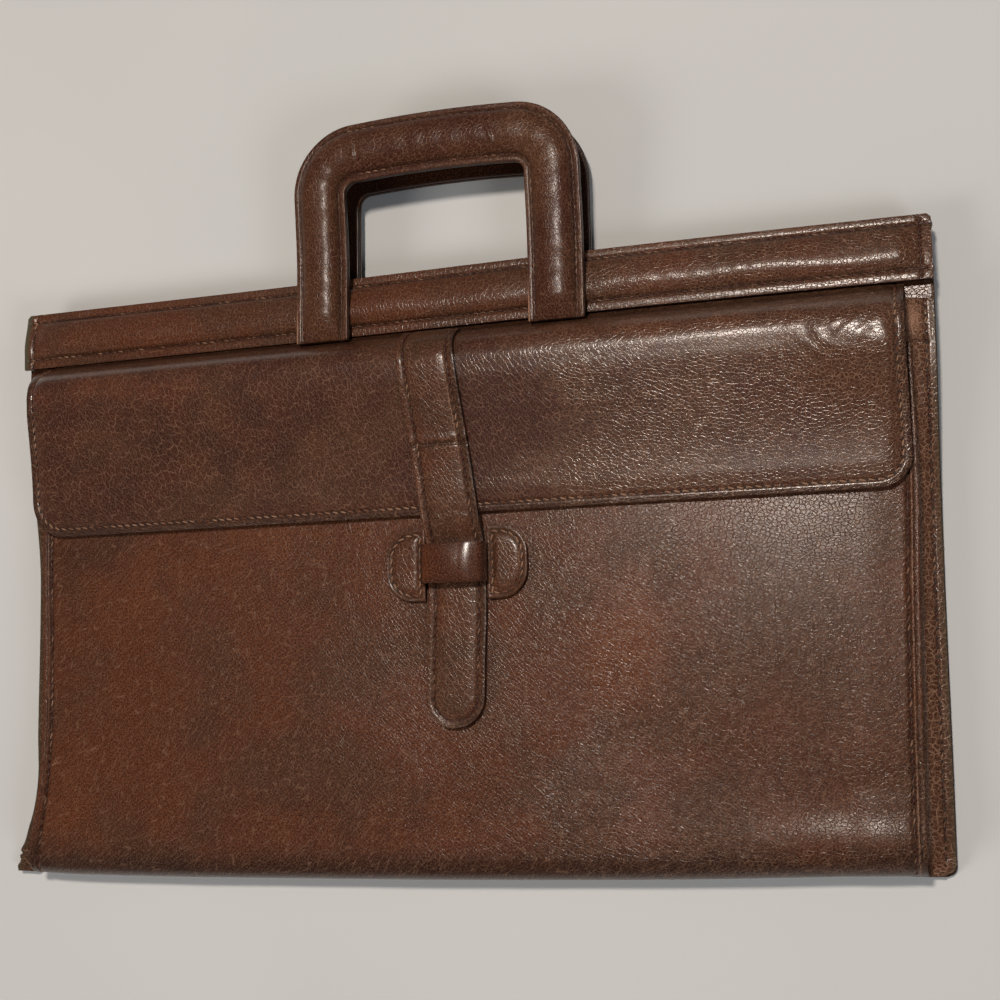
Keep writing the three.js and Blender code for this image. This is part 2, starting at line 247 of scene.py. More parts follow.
def scratch_values(x, y):
    """How pale the scratches make each place."""
    pale = np.zeros_like(x)
    for scratch in SCRATCHES:
        start, end = np.array(scratch["from"]), np.array(scratch["to"])
        way = end - start
        along = np.clip(((x - start[0]) * way[0] + (y - start[1]) * way[1]) / (way @ way), 0, 1)
        off = np.hypot(x - start[0] - along * way[0], y - start[1] - along * way[1])
        pale += scratch["pale"] * hump(off, 0, scratch["wide"]) * (0.6 + 0.4 * np.sin(along * 9 + 1))
    return pale


def patch_values(x, y):
    """How red and how dark the patches make each place."""
    red = np.zeros_like(x)
    dark = np.zeros_like(x)
    for patch in PATCHES:
        near = np.exp(-((x - patch["x"]) / patch["wide"]) ** 2 - ((y - patch["y"]) / patch["high"]) ** 2)
        red += patch["red"] * near
        dark += patch["dark"] * near
    return red, dark


# Modelling helpers

def select_only(obj):
    bpy.ops.object.select_all(action="DESELECT")
    obj.select_set(True)
    bpy.context.view_layer.objects.active = obj


def apply_modifier(obj, kind, **settings):
    select_only(obj)
    modifier = obj.modifiers.new(kind.title(), kind)
    for key, value in settings.items():
        setattr(modifier, key, value)
    bpy.ops.object.modifier_apply(modifier=modifier.name)


def give_attribute(obj, name, values):
    attribute = obj.data.attributes.new(name, "FLOAT", "POINT")
    attribute.data.foreach_set("value", np.asarray(values, np.float32).ravel())


def sheet_places(name, points):
    """Places on the flat sheet that a form is bent from, measured along its middle row and column."""
    rows, columns = points.shape[:2]
    steps_u = np.linalg.norm(np.diff(points[rows // 2], axis=0), axis=1)
    steps_v = np.linalg.norm(np.diff(points[:, columns // 2], axis=0), axis=1)
    u, v = np.meshgrid(np.concatenate([[0], np.cumsum(steps_u)]), np.concatenate([[0], np.cumsum(steps_v)]))
    own = sum(ord(letter) for letter in name) * 0.00137
    return np.stack([u + own, v + own / 3, 0 * u], axis=-1)


def lay_grid(name, across, along, surface, marks=None):
    """A grid primitive whose columns and rows are laid on a form: surface(across, along), in mm."""
    bpy.ops.object.select_all(action="DESELECT")
    bpy.ops.mesh.primitive_grid_add(
        x_subdivisions=len(across) - 1, y_subdivisions=len(along) - 1, size=2)
    obj = bpy.context.object
    obj.name = name
    u, v = np.meshgrid(across, along)
    x, y, z = (np.broadcast_to(part, u.shape) for part in surface(u, v))
    points = np.stack([x, y, z], axis=-1) * MM
    sheet = obj.data.attributes.new("sheet", "FLOAT_VECTOR", "POINT")
    if len(obj.data.vertices) != u.size:
        raise RuntimeError(f"{name}: the grid has {len(obj.data.vertices)} points, not {u.size}")
    obj.data.vertices.foreach_set("co", points.ravel())
    sheet.data.foreach_set("vector", sheet_places(name, points).astype(np.float32).ravel())
    red, dark = patch_values(x, y)
    # The worn mark holds the scratches and, from a piece's own marks, rubbing and painted highlights; the
    # dark mark holds the patches and, from a piece's own marks, painted shade.
    values = {"red": red, "dark": dark, "worn": scratch_values(x, y), "raw": 0 * x}
    for key, value in (marks(u, v) if marks else {}).items():
        values[key] = values[key] + value
    for key, value in values.items():
        give_attribute(obj, key, value)
    obj.data.update()
    return obj


def seam_on(surface, across, along, lift=STITCH_LIFT):
    """A seam's points on a form, in mm, just above the bottom of its groove."""
    across, along = np.broadcast_arrays(np.asarray(across, float), np.asarray(along, float))
    x, y, z = surface(across, along)
    return np.column_stack([x, y, z + lift])


def round_edges(obj):
    """Rounds a piece's cut edges and shades its faces smooth."""
    apply_modifier(obj, "BEVEL", width=sizes().edge_round, segments=2, limit_method="ANGLE",
                   angle_limit=math.radians(50))
    finish_mesh(obj)


def thicken(obj, thickness):
    """Gives a laid sheet its thickness below its face and rounds its cut edges."""
    apply_modifier(obj, "SOLIDIFY", thickness=thickness, offset=-1, material_offset_rim=1)
    round_edges(obj)


def finish_mesh(obj, angle=60):
    """Shades a mesh smooth, apart from edges sharper than an angle in degrees."""
    select_only(obj)
    bpy.ops.object.shade_smooth_by_angle(angle=math.radians(angle))


def hand_over(obj, node=None):
    """Sets a finished piece on the frame's body, in place of its solid where it has one."""
    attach(obj, "root")
    if node:
        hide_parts(node)


def make_sheet(node, recipe, across, along, surface, marks=None, ply=None):
    """One sheet of leather in place of a solid of the frame, one ply thick unless another ply is given."""
    obj = lay_grid(node + "_leather", across, along, surface, marks)
    dress(obj, recipe)
    thicken(obj, ply or sizes().ply)
    hand_over(obj, node)


def join_pieces(name, parts):
    """Joins pieces to the first of them, under this name."""
    select_only(parts[0])
    for part in parts[1:]:
        part.select_set(True)
    if len(parts) > 1:
        bpy.ops.object.join()
    parts[0].name = name
    return parts[0]


def smooth_path(points, step=1.2):
    """Points of a seam, in mm, spaced evenly along it."""
    points = np.asarray(points, float)
    runs = np.concatenate([[0], np.cumsum(np.linalg.norm(np.diff(points, axis=0), axis=1))])
    wanted = np.linspace(0, runs[-1], max(2, int(runs[-1] / step)))
    return np.stack([np.interp(wanted, runs, points[:, i]) for i in range(3)], axis=1)


def stitch_row(name, points, thread):
    """A row of stitches along a seam: one stitch, repeated by Array and bent along the seam by Curve."""
    points = smooth_path(points)
    spline_data = bpy.data.curves.new(name + "_line", "CURVE")
    spline_data.dimensions = "3D"
    spline_data.twist_mode = "Z_UP"
    spline = spline_data.splines.new("POLY")
    spline.points.add(len(points) - 1)
    spline.points.foreach_set("co", np.column_stack([points * MM, np.ones(len(points))]).ravel())
    line = bpy.data.objects.new(name + "_line", spline_data)
    bpy.context.collection.objects.link(line)
    settings = sizes()
    bpy.ops.object.select_all(action="DESELECT")
    bpy.ops.mesh.primitive_uv_sphere_add(segments=6, ring_count=6, radius=0.5)
    stitch = bpy.context.object
    stitch.name = name
    bpy.ops.object.mode_set(mode="EDIT")
    bpy.ops.mesh.select_all(action="SELECT")
    bpy.ops.transform.rotate(value=math.pi / 2, orient_axis="Y", center_override=(0, 0, 0))
    bpy.ops.transform.resize(
        value=(settings.stitch_length, settings.thread, settings.thread * STITCH_HEIGHT))
    bpy.ops.transform.rotate(value=math.radians(STITCH_SLANT), orient_axis="Z", center_override=(0, 0, 0))
    bpy.ops.transform.translate(value=(settings.stitch_pitch / 2, 0, 0))
    bpy.ops.object.mode_set(mode="OBJECT")
    # The awl hole is a dark blob under each stitch: painted shade standing in for the dark inside of the
    # hole.
    bpy.ops.object.select_all(action="DESELECT")
    bpy.ops.mesh.primitive_uv_sphere_add(segments=6, ring_count=4, radius=0.5)
    hole = bpy.context.object
    bpy.ops.object.mode_set(mode="EDIT")
    bpy.ops.mesh.select_all(action="SELECT")
    bpy.ops.transform.resize(value=[settings.thread * share for share in HOLE])
    bpy.ops.transform.translate(value=(0, 0, -STITCH_LIFT * MM * 0.9))
    bpy.ops.object.mode_set(mode="OBJECT")
    stitch.data.materials.append(material(thread))
    hole.data.materials.append(material("painted_hole_shade"))
    stitch = join_pieces(name, [stitch, hole])
    apply_modifier(stitch, "ARRAY", fit_type="FIT_CURVE", curve=line, use_relative_offset=False,
                   use_constant_offset=True, constant_offset_displace=(settings.stitch_pitch, 0, 0))
    apply_modifier(stitch, "CURVE", object=line, deform_axis="POS_X")
    bpy.data.objects.remove(line)
    bpy.data.curves.remove(spline_data)
    return stitch


def stitching(name, seams, thread="dark_thread"):
    """All the seams of one piece, as one object of waxed thread."""
    rows = [stitch_row(f"{name}_{i}", seam, thread) for i, seam in enumerate(seams)]
    obj = join_pieces(name, rows)
    finish_mesh(obj, 80)
    hand_over(obj)


# Materials

def socket_of(sockets, name):
    """The socket of this name, or number, that the node's settings leave in use."""
    if isinstance(name, int):
        return sockets[name]
    return next(s for s in sockets if s.name == name and s.enabled)


def add_node(tree, kind, inputs=(), output=0, **settings):
    """Adds a node with its settings and its inputs, values or links, in order or by name."""
    node = tree.nodes.new("ShaderNode" + kind)
    for key, value in settings.items():
        setattr(node, key, value)
    for key, value in inputs.items() if isinstance(inputs, dict) else enumerate(inputs):
        target = socket_of(node.inputs, key)
        if isinstance(value, bpy.types.NodeSocket):
            tree.links.new(value, target)
        else:
            target.default_value = value
    return socket_of(node.outputs, output) if node.outputs else None


def new_material(name):
    """An empty material, and add_node for its own tree."""
    made = bpy.data.materials.new(name)
    made.use_nodes = True
    made.node_tree.nodes.clear()
    return made, partial(add_node, made.node_tree)


# Settings that many nodes share. A step goes smoothly from one value to another.
STEP = {"interpolation_type": "SMOOTHSTEP"}
PLUS = {"operation": "ADD"}
MINUS = {"operation": "SUBTRACT"}
TIMES = {"operation": "MULTIPLY"}
LARGER = {"operation": "MAXIMUM"}


def per_metre(length_mm):
    """Scale of a pattern whose cells are this long, on coordinates in metres."""
    return 1 / (length_mm * MM)


def wandering(add, place, size_mm, reach):
    """A place on the sheet moved a little by slow noise, so that a pattern on it wanders."""
    drift = add("TexNoise", {"Vector": place, "Scale": per_metre(size_mm), "Detail": 2.0}, "Color",
                noise_dimensions="2D")
    return add("VectorMath", (drift, (reach,) * 3, place), operation="MULTIPLY_ADD")


def drawn_out(add, place, turn, stretch):
    """A place seen along one direction of the sheet, so that a pattern on it is longer that way."""
    turned = add("Mapping", {"Vector": place, "Rotation": (0, 0, turn)})
    return add("Mapping", {"Vector": turned, "Scale": (1 / stretch, 1, 1)})


def lines_between(add, place, cell_mm, width):
    """Lines between cells of a size, 1 on the line and 0 at a share of the cell away from it."""
    edge = add("TexVoronoi", {"Vector": place, "Scale": per_metre(cell_mm)}, "Distance",
               feature="DISTANCE_TO_EDGE", voronoi_dimensions="2D")
    return add("MapRange", (edge, 0.0, width, 1.0, 0.0), **STEP)


def layered(add, base, layers):
    """A colour with others laid over it in turn, each with its share."""
    for share, tone in layers:
        base = add("Mix", {"Factor": share, "A": base, "B": srgb(tone)}, "Result", data_type="RGBA")
    return base


# Vegetable-tanned cowhide, pebbled by tumbling and finished with a thin wax: fine lighter veins between
# low pebbles, a satin gloss that breaks up in the grain, redder where it is rubbed, duller where it is dry.
# cell, right_cell: pebbles' size in mm, on most of the hide and at its right. relief: their height in
# metres. turn, stretch: which way and how much they are drawn out. vein, wrinkle, shade, wax: strength of
# the veins, of long fine creases, of extra darkening and of the wax; the extra darkening is darker dye on
# the strap and painted shade on the backings and the rear loop. dye: the colour's name.
def pebbled_leather(name, cell=1.9, right_cell=1.5, relief=0.00008, right_relief=1.5, turn=1.05,
                    stretch=2.1, vein=0.9, wrinkle=0.0, shade=0.0, wax=0.6, dye="mid"):
    made, add = new_material(name)
    tints = colours()
    side = add("SeparateXYZ", (add("TexCoord", output="Object"),), "X")
    sheet = add("Attribute", output="Vector", attribute_name="sheet")
    red, dark, worn, raw = (
        add("Attribute", output="Fac", attribute_name=mark) for mark in ("red", "dark", "worn", "raw"))
    patches, drifts, grit, fading = (
        add("TexNoise", {"Vector": sheet, "Scale": per_metre(size), "Detail": detail, "Roughness": rough},
            "Fac", noise_dimensions="2D")
        for size, detail, rough in ((48, 3.0, 0.55), (16, 3.0, 0.6), (0.75, 3.0, 0.8), (3.4, 2.0, 0.5)))

    # The pebbles are larger on one side of the hide and fade into smaller ones over some centimetres.
    rightward = add("Math", (side, add("Math", (patches, 0.15), **TIMES)), **PLUS)
    rightward = add("MapRange", (rightward, 0.06, 0.2), **STEP)
    slow = wandering(add, sheet, 80, 0.016)
    bent = wandering(add, wandering(add, slow, 5, 0.0015), 1.4, 0.0004)
    large = lines_between(add, drawn_out(add, bent, turn, stretch), cell, 0.1)
    small = lines_between(add, drawn_out(add, bent, 0.2, 1.3), right_cell, 0.13)
    crumbs = lines_between(add, bent, cell * 0.38, 0.22)
    large = add("Math", (large, add("MapRange", (rightward, 0.0, 1.0, 1.0, 0.25), **STEP)), **TIMES)
    small = add("Math", (small, add("MapRange", (rightward, 0.0, 1.0, 0.15, 0.9), **STEP)), **TIMES)
    lines = add("Math", (large, small), **LARGER)

    greyness = add("Math", (patches, add("Math", (rightward, 0.1), **TIMES)), **PLUS)
    redness = add("Math", (red, add("MapRange", (drifts, 0.25, 0.75, -0.1, 0.2), **STEP)), **PLUS)
    gloom = add("Math", (dark, add("MapRange", (drifts, 0.7, 0.3, -0.05, 0.12 + shade), **STEP)), **PLUS)
    faded = add("MapRange", (fading, 0.38, 0.62, 0.3, 1.0), **STEP)
    strength = add("Math", (add("MapRange", (drifts, 0.3, 0.62, 0.6 * vein, vein), **STEP), faded), **TIMES)
    strength = add("Math", (strength, add("MapRange", (rightward, 0.0, 1.0, 1.0, 2.0), **STEP)), **TIMES)
    layers = [
        (add("MapRange", (greyness, 0.42, 0.66), **STEP), tints.grey),
        (add("MapRange", (redness, 0.1, 1.1), **STEP), tints.red),
        (add("MapRange", (gloom, 0.0, 1.0, 0.0, 0.85), **STEP), tints.dark),
        (add("MapRange", (grit, 0.36, 0.6, 0.8, 0.0), **STEP), tints.dark),
        (add("MapRange", (grit, 0.52, 0.7, 0.0, 0.45), **STEP), tints.vein),
        (add("Math", (lines, strength), **TIMES), tints.vein),
        (add("Math", (crumbs, 0.26 * vein), **TIMES), tints.vein),
    ]
    if wrinkle:
        creases = lines_between(add, drawn_out(add, wandering(add, slow, 30, 0.003), -0.8, 7.0), 2.0, 0.08)
        creases = add("Math", (creases, faded), **TIMES)
        layers.append((add("Math", (creases, wrinkle), **TIMES), tints.vein))
    # The worn marks hold real rubbing and scratches and also painted highlights and sheen; all are laid in
    # the pale rubbed colour.
    rub_and_highlight = add("Math", (worn, add("Math", (grit, 0.5), **MINUS)), **PLUS)
    layers += [(add("MapRange", (rub_and_highlight, 0.3, 0.95), **STEP), tints.worn), (raw, tints.raw)]
    base = layered(add, srgb(getattr(tints, dye)), layers)

    gloss = add("MapRange", (add("Math", (grit, lines), **PLUS), 0.3, 1.3, 0.4, 0.65), **STEP)
    height = add("MapRange", (rightward, 0.0, 1.0, 0.8, right_relief), **STEP)
    height = add("Math", (lines, height), **TIMES)
    height = add("Math", (height, add("Math", (crumbs, 0.15), **TIMES)), **PLUS)
    # The wax fills the lines and follows the pebbles less than the leather does.
    bump, wax_bump = (
        add("Bump", {"Height": height, "Distance": depth}, invert=True) for depth in (relief, relief * 0.4))
    shader = add("BsdfPrincipled", {
        "Base Color": base, "Roughness": gloss, "Normal": bump, "IOR": 1.45, "Specular IOR Level": 0.1,
        "Coat Weight": wax, "Coat Roughness": 0.22, "Coat IOR": 1.5, "Coat Normal": wax_bump})
    add("OutputMaterial", {"Surface": shader})
    return made


def worn_finish(name, rub_mm, first, second, low, high, roughness, relief, grain_mm):
    """A plain finish of two tones, worn in patches, with a fine relief of its own."""
    made, add = new_material(name)
    place = add("TexCoord", output="Object")
    rub, grain = (
        add("TexNoise", {"Vector": place, "Scale": per_metre(size), "Detail": detail}, "Fac")
        for size, detail in ((rub_mm, 3.0), (grain_mm, 2.0)))
    worn = add("MapRange", (rub, low, high), **STEP)
    tone = layered(add, srgb(getattr(colours(), first)), [(worn, getattr(colours(), second))])
    bump = add("Bump", {"Height": grain, "Distance": relief})
    gloss = add("MapRange", (rub, 0.3, 0.7, roughness - 0.08, roughness + 0.08), **STEP)
    shader = add("BsdfPrincipled", {"Base Color": tone, "Roughness": gloss, "Normal": bump})
    add("OutputMaterial", {"Surface": shader})
    return made


# The cowhide of each piece.
LEATHERS = {
    # Front and back panels: fine pebbles and long creases under a satin wax.
    "shell_cowhide": dict(cell=1.3, relief=0.00007, right_relief=2.4, turn=0.75, vein=0.32, wrinkle=0.4,
                          wax=0.65),
    # Flap: dyed deeper and polished by use.
    "flap_cowhide": dict(relief=0.00006, right_relief=1.6, vein=0.62, wax=1.0, dye="deep"),
    # Padded band: pebbles drawn out down its roll.
    "band_cowhide": dict(cell=1.7, right_relief=2.0, turn=1.5, stretch=1.8, vein=0.6, wax=0.7),
    # Hand loops: dyed deeper, with most of the wax worn off by hands.
    "handle_cowhide": dict(cell=1.5, vein=0.6, wax=0.3, dye="deep"),
    # Strap and tabs: darker, with clear veins.
    "strap_cowhide": dict(cell=1.7, vein=0.75, shade=0.15),
    # Gussets: greyer, partly as a painted sheen, with the coarsest pebbles.
    "gusset_cowhide": dict(cell=2.0, right_cell=2.0, relief=0.00006, vein=1.0, dye="grey"),
    # Loop of the keeper: burnished nearly smooth.
    "keeper_cowhide": dict(cell=1.2, relief=0.00003, vein=0.15, wax=0.8),
    # Backings of the hand loops and the rear loop's cover: smooth, and darkened as painted shade, for they
    # lie in the front loop's shadow.
    "backing_cowhide": dict(cell=1.2, relief=0.00004, vein=0.1, shade=0.5),
}

# Plain finishes: patches' size in mm, the two tones, where one gives way to the other, and the fine relief.
FINISHES = {
    # Cut edges of the plies, burnished and painted dark: slightly glossy, brown where the paint is rubbed.
    "painted_edge": dict(rub_mm=8, first="paint", second="mid", low=0.5, high=0.75, roughness=0.42,
                         relief=0.0001, grain_mm=0.9),
    # Waxed linen thread, twisted: matt and soiled in places, with its strands as a fine relief.
    "waxed_thread": dict(rub_mm=13, first="mid", second="thread", low=0.36, high=0.56, roughness=0.55,
                         relief=0.00008, grain_mm=0.35),
    # The same thread, dark brown, pale only where it is rubbed.
    "dark_thread": dict(rub_mm=9, first="deep", second="thread", low=0.45, high=0.72, roughness=0.5,
                          relief=0.00008, grain_mm=0.35),
    # Awl holes between the stitches: dull and nearly black, painted shade for the dark inside of each hole.
    "painted_hole_shade": dict(rub_mm=13, first="paint", second="dark", low=0.4, high=0.7, roughness=0.7,
                         relief=0.00005, grain_mm=0.4),
    # Loose fibres of torn leather: matt, pale where they are broken.
    "torn_fibre": dict(rub_mm=2, first="mid", second="worn", low=0.45, high=0.7, roughness=0.8,
                       relief=0.00005, grain_mm=0.4),
    # Painted studio floor: matt, very slightly clouded.
    "matt_floor": dict(rub_mm=400, first="floor", second="floor_clouds", low=0.3, high=0.7, roughness=0.85,
                       relief=0.0, grain_mm=5),
}


def material(name):
    """The material of this name, made when it is first asked for."""
    if name in bpy.data.materials:
        return bpy.data.materials[name]
    if name in LEATHERS:
        return pebbled_leather(name, **LEATHERS[name])
    return worn_finish(name, **FINISHES[name])


def dress(obj, name):
    """Leather on the faces of a piece and edge paint on its cut edges."""
    obj.data.materials.clear()
    obj.data.materials.append(material(name))
    obj.data.materials.append(material("painted_edge"))


# Back panel

LIFT = BACK_HIGH[2] - PLY
RISE_START = BOTTOM + 0.5 * BODY_HEIGHT
RISE_END = BOTTOM + 0.8 * BODY_HEIGHT
LEFT_PINCH = 4.5
TOP_RADIUS = 1.5
BOTTOM_RADIUS = 4.0
FRAY_REACH = 26.0
FRAY_DEPTH = 1.1
FRAY_STEP = 1.2
FIBRE = {"count": 16, "radius": 0.11, "sides": 1, "shortest": 0.8, "longest": 2.6}

# How far the worn outline has moved out from a straight one, in mm, at shares of the height or width.
BACK_DRIFT = {
    -1: [(0.0, 2.6), (0.03, 1.6), (0.06, -0.9), (0.1, -3.8), (0.15, -5.2), (0.23, -3.6), (0.36, -1.6),
         (0.6, 0.3), (0.8, 0.0), (1.0, 0.0)],
    1: [(0.0, -2.0), (0.15, -1.3), (0.4, -0.4), (0.6, 0.7), (0.8, 2.2), (1.0, 2.8)],
}
FRONT_DRIFT = {
    -1: [(0.0, 4.4), (0.06, 2.3), (0.12, 0.0), (0.18, -1.3), (0.34, -1.5), (0.57, 0.3), (0.8, 0.0)],
    1: [(0.0, -1.2), (0.1, -0.8), (0.3, 0.6), (0.45, 2.0), (0.56, 3.3), (0.8, 3.6)],
}
BOTTOM_DRIFT = [(-1.0, 2.0), (-0.9, 2.8), (-0.7, 3.4), (-0.3, 3.4), (0.1, 2.9), (0.5, 1.5), (0.9, -0.8),
                (1.0, -0.9)]
TOP_DRIFT = [(-1.0, -1.0), (-0.33, -0.6), (0.34, 0.7), (0.7, 0.7), (1.0, 0.4)]

TEARS = np.random.default_rng(7).uniform(-1, 1, 200)


def up_share(y):
    """Share of the body's height, from the bottom fold to the top edge."""
    return (y - BOTTOM) / BODY_HEIGHT


def settled(x, y):
    """Height on the case, moved as the worn top and bottom edges have moved."""
    share = x / BACK_HIGH[0]
    low = read_table(BOTTOM_DRIFT, 1, share) * (1 - ease(0.0, 0.3, up_share(y)))
    high = read_table(TOP_DRIFT, 1, share) * ease(0.7, 1.0, up_share(y))
    return y - low + high


def back_under(y):
    """Height of the back panel's underside."""
    return LIFT * ease(RISE_START, RISE_END, y)


def fray(y):
    """Jagged tears of the lower left corner."""
    near = 1 - ease(BOTTOM, BOTTOM + FRAY_REACH, y)
    return FRAY_DEPTH * near * np.interp(y - BOTTOM, np.arange(len(TEARS)) * FRAY_STEP, TEARS)


def back_edge(side, y):
    """Edge of the back panel, left or right, with the left one drawn in at mid height."""
    share = up_share(y)
    drawn_in = LEFT_PINCH * np.sin(np.pi * share) ** 2 if side < 0 else 0
    cut = np.maximum(corner_cut(TOP - y, TOP_RADIUS), corner_cut(y - BOTTOM, BOTTOM_RADIUS) * (side > 0))
    moved = read_table(BACK_DRIFT[side], 1, share)
    torn = fray(y) if side < 0 else 0
    return side * (BACK_HIGH[0] - drawn_in - cut + moved + torn)


class CASE_OT_back_panel(bpy.types.Operator):
    """Back panel: flat on the floor, rising over the rear hand loop, torn at its lower left corner."""

    bl_idname = "document_case.back_panel"
    bl_label = "Back panel"

    def add_fibres(self):
        """Loose fibres that stick out of the torn corner."""
        strands = bpy.data.curves.new("torn_fibres", "CURVE")
        strands.dimensions = "3D"
        strands.bevel_depth = FIBRE["radius"] * MM
        strands.bevel_resolution = FIBRE["sides"]
        strands.use_fill_caps = True
        draw = np.random.default_rng(11)
        for _ in range(FIBRE["count"]):
            y = BOTTOM + draw.uniform(0.5, FRAY_REACH * 0.8)
            x = back_edge(-1, y) + 0.5
            reach = draw.uniform(FIBRE["shortest"], FIBRE["longest"])
            lean = draw.uniform(-0.9, 0.7)
            strand = strands.splines.new("POLY")
            strand.points.add(3)
            for i, point in enumerate(strand.points):
                share = i / 3
                point.co = ((x - reach * share) * MM, (settled(x, y) + reach * lean * share ** 1.5) * MM,
                            (1.2 + draw.uniform(-0.3, 0.5)) * MM, 1)
        obj = bpy.data.objects.new("torn_fibres", strands)
        bpy.context.collection.objects.link(obj)
        select_only(obj)
        bpy.ops.object.convert(target="MESH")
        obj = bpy.context.object
        obj.data.materials.append(material("torn_fibre"))
        finish_mesh(obj)
        hand_over(obj)

    def execute(self, context):
        ply = sizes().ply / MM
        width = 2 * BACK_HIGH[0]

        def surface(u, v):
            y = BOTTOM + v
            x = across_sheet(back_edge, y, u / width)
            curl = 0.4 * hump(u, 0, 8) * hump(v, 12, 9)
            sprawl = 1.1 * ease(width - 30, width - 8, u) * (1 - ease(0, 12, v))
            return x, settled(x, y) - sprawl, back_under(y) + ply + curl

        def marks(u, v):
            rim = hump(u, 0, 3.0) + 1.6 * hump(width - u, 0, 2.0)
            torn = hump(u, 0, 4) * hump(v, 0, 18)
            return {"dark": 0.45 * rim + 0.9 * torn, "raw": 0.15 * hump(width - u, 0, 1.6) + 0.1 * torn}

        across = lines_at(width, 6, (), ends=(1, 2, 3, 5, 7, 10, width - 3, width - 1.5))
        rows = tuple(np.arange(0.75, FRAY_REACH + 4, FRAY_STEP / 2))
        along = lines_at(BODY_HEIGHT, 5, (), ends=rows)
        make_sheet("back_panel", "shell_cowhide", across, along, surface, marks)
        self.add_fibres()
        return {"FINISHED"}


# Front panel

FOLD = 9.0
FRONT_SEAM = 4.2
RIM_SPLIT = 1.7
BOTTOM_TUCK = 1.6
# Left and upper limit of the stiffened lower right corner, in mm.
STIFFENED = (169.0, -131.0)


def front_edge(side, y):
    """Edge of the front panel, left or right."""
    return FRONT_MIDDLE + side * (FRONT_HALF + read_table(FRONT_DRIFT[side], 1, up_share(y)))


def front_face(x, y):
    """Height of the front panel's outer face above its flat part, away from the bottom fold."""
    dents = 0.25 * np.sin(x / 13 + 0.5) * np.sin(y / 17) * hump(y, BOTTOM + 24, 22)
    line, top = STIFFENED
    stiffened = 0.5 * ease(line - 2, line + 1, x) * (1 - ease(top - 3, top + 3, y))
    puffed = 2.0 * hump(x, line + 10, np.where(x < line, 48, 20)) * hump(y, top - 18, 9)
    return FRONT_FACE - 0.8 + swell(x, y) * ease(BOTTOM + 10, BOTTOM + 40, y) + dents + stiffened + puffed


class CASE_OT_front_panel(bpy.types.Operator):
    """Front panel: from its mouth under the flap, down the front and round the soft bottom fold."""

    bl_idname = "document_case.front_panel"
    bl_label = "Front panel"

    def execute(self, context):
        straight = MOUTH - BOTTOM - FOLD
        turn = FOLD * math.pi / 2
        wall = FRONT_FACE - FOLD - FRONT_LOW[2]
        run = straight + turn + wall
        width = 2 * FRONT_HALF

        def surface(u, v):
            distance = run - v
            turned = np.clip(distance - straight, 0, turn) / FOLD
            dropped = np.clip(distance - straight - turn, 0, wall)
            y = MOUTH - np.minimum(distance, straight) - FOLD * np.sin(turned)
            y = y + BOTTOM_TUCK * dropped / wall
            x = across_sheet(front_edge, y, u / width)
            to_edge = np.minimum(u, width - u)
            waves = 0.35 * np.sin(u / 19 + 1) + 0.25 * np.sin(u / 7.7)
            sag = waves * hump(distance, straight + 5, 9)
            rim = 0.35 * hump(to_edge, 2.6, 0.8) + 0.25 * hump(to_edge, 0.8, 0.6)
            rim = rim - 0.3 * hump(to_edge, RIM_SPLIT, 0.35)
            pillow = 0.7 * ease(FRONT_SEAM, FRONT_SEAM + 16, to_edge) - 0.7
            z = front_face(x, y) - FOLD * (1 - np.cos(turned)) - dropped + rim + pillow
            return x, settled(x, y), z - 1.3 * seam_pull(to_edge - FRONT_SEAM) - sag * 0.6

        def marks(u, v):
            distance = run - v
            to_edge = np.minimum(u, width - u)
            # Painted shade: the front is darker round the bottom fold, where it turns away from the light.
            low = ease(straight - 8, straight + 8, distance)
            # Darker along the seam's groove and along the split in the rim.
            groove_darkening = 0.7 * hump(to_edge, FRONT_SEAM, 1.3) + 0.6 * hump(to_edge, RIM_SPLIT, 0.5)
            # Painted highlights on rubbed leather: a pale ridge along the right edge and a pale lower right
            # corner.
            corner = hump(width - u, 20, 14) * hump(distance, straight - 14, 9)
            rub_and_highlight = 0.5 * hump(to_edge, 2.7, 0.6) * (u > FRONT_HALF) + 0.25 * corner
            return {"dark": 1.1 * low + groove_darkening, "worn": rub_and_highlight}

        rims = (0.8, RIM_SPLIT, 2.2, 2.7)
        scratched = tuple(np.arange(6, 36, 1.2))
        across = lines_at(width, 2.6, (FRONT_SEAM, width - FRONT_SEAM),
                          ends=rims + scratched + tuple(width - np.array(rims)))
        low = wall + turn - FOLD - BOTTOM
        along = lines_at(run, 2.6, (), ends=tuple(np.linspace(wall, wall + turn, 14))
                         + tuple(low + np.arange(-118, -106, 0.6)))
        make_sheet("front_panel", "shell_cowhide", across, along, surface, marks)
        v = np.linspace(wall + 3, run - 2, 120)
        seams = [seam_on(surface, u, v) for u in (FRONT_SEAM, width - FRONT_SEAM)]
        stitching("front_panel_stitching", seams)
        return {"FINISHED"}


# Gussets: across is the share of the way in from the back panel's edge, height the share of the room.
GUSSET_SECTION = [
    (0.0, 0.0, 0.0), (0.12, 0.12, 0.02), (0.25, 0.25, 0.05), (0.4, 0.42, 0.11), (0.55, 0.58, 0.22),
    (0.66, 0.68, 0.42), (0.76, 0.75, 0.68), (0.87, 0.85, 0.93), (1.0, 1.0, 1.0),
]
GUSSET_FLANGE = 5.0
GUSSET_PINCH = 15.0
GUSSET_SEAM_SHARE = 0.25
END_REACH = 2.9
TAB_CREASE = 43.0


